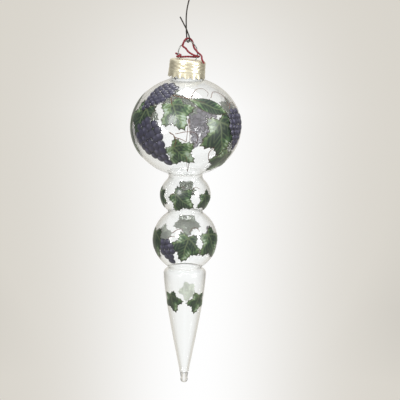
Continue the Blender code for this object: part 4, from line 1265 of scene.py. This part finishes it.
class ORNAMENT_OT_cap(bpy.types.Operator):
    """Press the fluted cap, with its slots for the bail"""

    bl_idname = "ornament.cap"
    bl_label = "Cap"

    def execute(self, context):
        cap, wires = context.scene.ornament_cap, context.scene.ornament_wires
        points, hollow = self.sheet(cap)
        tilt = Matrix.Translation((0.0, 0.0, CAP_RIM)) @ Matrix.Rotation(cap.tilt, 4, "Y")
        raw = mesh_of("cap_raw", points[None], values={"hollow": hollow})
        raw.data.materials.append(cap_finish(cap))
        raw.data.transform(tilt)
        cutters = [self.slot(raw, cap, wires, side, tilt) for side in (-1, 1)]
        context.view_layer.update()
        whole = raw.evaluated_get(context.evaluated_depsgraph_get())
        mesh = bpy.data.meshes.new_from_object(whole)
        made = bpy.data.objects.new("cap_pressed", mesh)
        context.scene.collection.objects.link(made)
        for old in (raw, *cutters):
            bpy.data.objects.remove(old)
        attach(made, "hanger")
        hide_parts("cap")
        return {"FINISHED"}

    def sheet(self, cap):
        """Both faces of the sheet: r and z of the profile, moved by flutes, scallops and relief.

        Below the skirt's top the radius swells by a cosine of the angle and the rim rises
        between the swells. Above it a band of lozenges, cos a cos z, stands out.
        """
        edge = np.linspace(0.0, 0.5 * pi, 9)
        top = [(share * (cap.radius - cap.edge), cap.height) for share in np.linspace(0, 1, 14)]
        across = cap.radius - cap.edge + cap.edge * np.sin(edge)
        bend = np.column_stack([across, cap.height - cap.edge * (1 - np.cos(edge))])[1:]
        level = np.linspace(cap.height - cap.edge, 0.0, 56)[1:]
        wall = np.column_stack([cap.radius + cap.flare * (1 - level / cap.height), level])
        outside = np.vstack([top, bend, wall])
        inside = outside - cap.sheet * outward(outside)
        inside[0] = (0.0, cap.height - cap.sheet)
        profile = np.vstack([outside, inside[::-1]])
        points = turned(profile, CAP_STEPS)
        angle = circle(CAP_STEPS)[None, :]
        radius = np.maximum(profile[:, :1], SAME_POINT)
        level = profile[:, 1:]
        share = np.clip(1.0 - level / cap.flute_height, 0.0, 1.0)
        wave = 0.5 + 0.5 * np.cos(FLUTES * angle)
        grow = 1.0 + cap.flute_depth * share * (wave - 0.5) / radius
        low, high = 1.12 * cap.flute_height, cap.height - 1.1 * cap.edge
        band = np.clip((level - low) / BAND_EDGE, 0, 1) * np.clip((high - level) / BAND_EDGE, 0, 1)
        lozenge = np.cos(LOZENGES * angle) * np.cos(2 * pi * (level - low) / (0.5 * (high - low)))
        line = np.exp(-(((level - cap.flute_height) / LINE_WIDTH) ** 2))
        relief = cap.relief * (0.5 * band * (lozenge - 1.0) + 0.9 * line)
        on_wall = (radius > 0.9 * (cap.radius - cap.edge)) & (level < high + cap.sheet)
        grow = grow + on_wall * relief / radius
        points[..., :2] *= grow[..., None]
        points[..., 2] += cap.scallop * share**2 * (1.0 - wave)
        # Share of painted shade: between the flutes towards the rim, and in the band's recesses
        hollow = 0.75 * share * (1.0 - wave) + 0.6 * band * (0.5 - 0.5 * lozenge)
        return points, np.clip(hollow, 0.0, 1.0)

    def slot(self, raw, cap, wires, side, tilt):
        """Cuts the slot for a foot of the bail."""
        loose, wide = 0.0009, 0.0028
        reach = wires.bail_half_width - wires.foot_half_width + 2 * (wires.bail_radius + loose)
        bar = bmesh.new()
        bmesh.ops.create_cube(bar, size=1.0)
        bmesh.ops.scale(bar, vec=(reach, wide, 8 * cap.sheet), verts=bar.verts)
        upright = [e for e in bar.edges if abs(e.verts[0].co.z - e.verts[1].co.z) > SAME_POINT]
        bmesh.ops.bevel(
            bar, geom=upright, offset=0.4 * wide, segments=5, affect="EDGES", profile=0.5
        )
        mesh = bpy.data.meshes.new("slot_cutter")
        bar.to_mesh(mesh)
        bar.free()
        middle = side * 0.5 * (wires.bail_half_width + wires.foot_half_width)
        mesh.transform(tilt @ Matrix.Translation((middle, 0.0, cap.height)))
        cutter = bpy.data.objects.new("slot_cutter", mesh)
        bpy.context.scene.collection.objects.link(cutter)
        cut = raw.modifiers.new("slot", "BOOLEAN")
        cut.operation = "DIFFERENCE"
        cut.object = cutter
        return cutter


class ORNAMENT_OT_glass(bpy.types.Operator):
    """Blow the glass body with its two walls"""

    bl_idname = "ornament.glass"
    bl_label = "Glass Body"

    def execute(self, context):
        made = mesh_of("glass_blown", turned(glass_profile(), GLASS_STEPS)[None])
        made.data.materials.append(glass_finish(context.scene.ornament_glass))
        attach(made, "glass")
        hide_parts("glass_globe", "glass_small_ball", "glass_middle_ball", "glass_icicle")
        return {"FINISHED"}


class ORNAMENT_OT_stems(bpy.types.Operator):
    """Lay the printed stems and tendrils between the leaves"""

    bl_idname = "ornament.stems"
    bl_label = "Stems"

    def execute(self, context):
        prints, surface = context.scene.ornament_prints, GlassSurface()
        patches = np.stack([stem_points(prints, surface, stem) for stem in STEMS])
        made = mesh_of("stems_print", patches)
        made.data.materials.append(stem_finish(prints))
        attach(made, "glass")
        return {"FINISHED"}


class ORNAMENT_OT_cutouts(bpy.types.Operator):
    """Paste the printed leaves and grape bunches round the glass"""

    bl_idname = "ornament.cutouts"
    bl_label = "Leaves and Grapes"

    def execute(self, context):
        prints, surface = context.scene.ornament_prints, GlassSurface()
        leaf = leaf_finish(prints, "leaf_print", 0.0)
        # The backs of leaves and bunches glow with painted light; the icicle's leaf backs glow
        # three times as bright
        back = leaf_finish(prints, "leaf_back", 0.78)
        bright_glow_back = leaf_finish(prints, "thin_leaf_back", 0.95, 3.0)
        grape = grape_finish(prints, "grape_print", 0.0)
        grape_back = grape_finish(prints, "grape_back", 0.72)
        random = np.random.default_rng(7)
        for place, rows in CUTOUTS.items():
            for cut in (Cutout(*row) for row in rows):
                if cut.shape in BUNCHES:
                    made = berry_domes(surface, place, cut, random)
                    finishes, slot = (grape, grape_back), "grape_paper"
                else:
                    made = leaf_sheet(surface, place, cut)
                    finishes, slot = (leaf, bright_glow_back if place == "icicle" else back), "leaf_paper"
                for finish in finishes:
                    made.data.materials.append(finish)
                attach(made, "glass")
                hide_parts(cut.name)
        return {"FINISHED"}


# ---------------------------------------------------------------- add-on


class ORNAMENT_PT_sidebar(bpy.types.Panel):
    """Lists the steps that dress the ornament"""

    bl_idname = "ORNAMENT_PT_sidebar"
    bl_label = "Icicle Ornament"
    bl_space_type = "VIEW_3D"
    bl_region_type = "UI"
    bl_category = "Ornament"

    def draw(self, context):
        for step in STEPS:
            self.layout.operator(step.bl_idname)


SETTINGS = {
    "ornament_glass": GlassSettings,
    "ornament_cap": CapSettings,
    "ornament_wires": WireSettings,
    "ornament_cord": CordSettings,
    "ornament_prints": PrintSettings,
    "ornament_stage": StageSettings,
}
STEPS = (
    ORNAMENT_OT_stage,
    ORNAMENT_OT_cord,
    ORNAMENT_OT_wires,
    ORNAMENT_OT_cap,
    ORNAMENT_OT_glass,
    ORNAMENT_OT_cutouts,
    ORNAMENT_OT_stems,
)


def register():
    for made in (*SETTINGS.values(), *STEPS, ORNAMENT_PT_sidebar):
        bpy.utils.register_class(made)
    for name, group in SETTINGS.items():
        setattr(bpy.types.Scene, name, PointerProperty(type=group))


def unregister():
    for name in SETTINGS:
        delattr(bpy.types.Scene, name)
    for made in (ORNAMENT_PT_sidebar, *reversed(STEPS), *SETTINGS.values()):
        bpy.utils.unregister_class(made)


def main():
    register()
    bpy.ops.ornament.stage()
    bpy.ops.ornament.cord()
    bpy.ops.ornament.wires()
    bpy.ops.ornament.cap()
    bpy.ops.ornament.glass()
    bpy.ops.ornament.cutouts()
    bpy.ops.ornament.stems()
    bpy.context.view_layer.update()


if __name__ == "__main__":
    main()
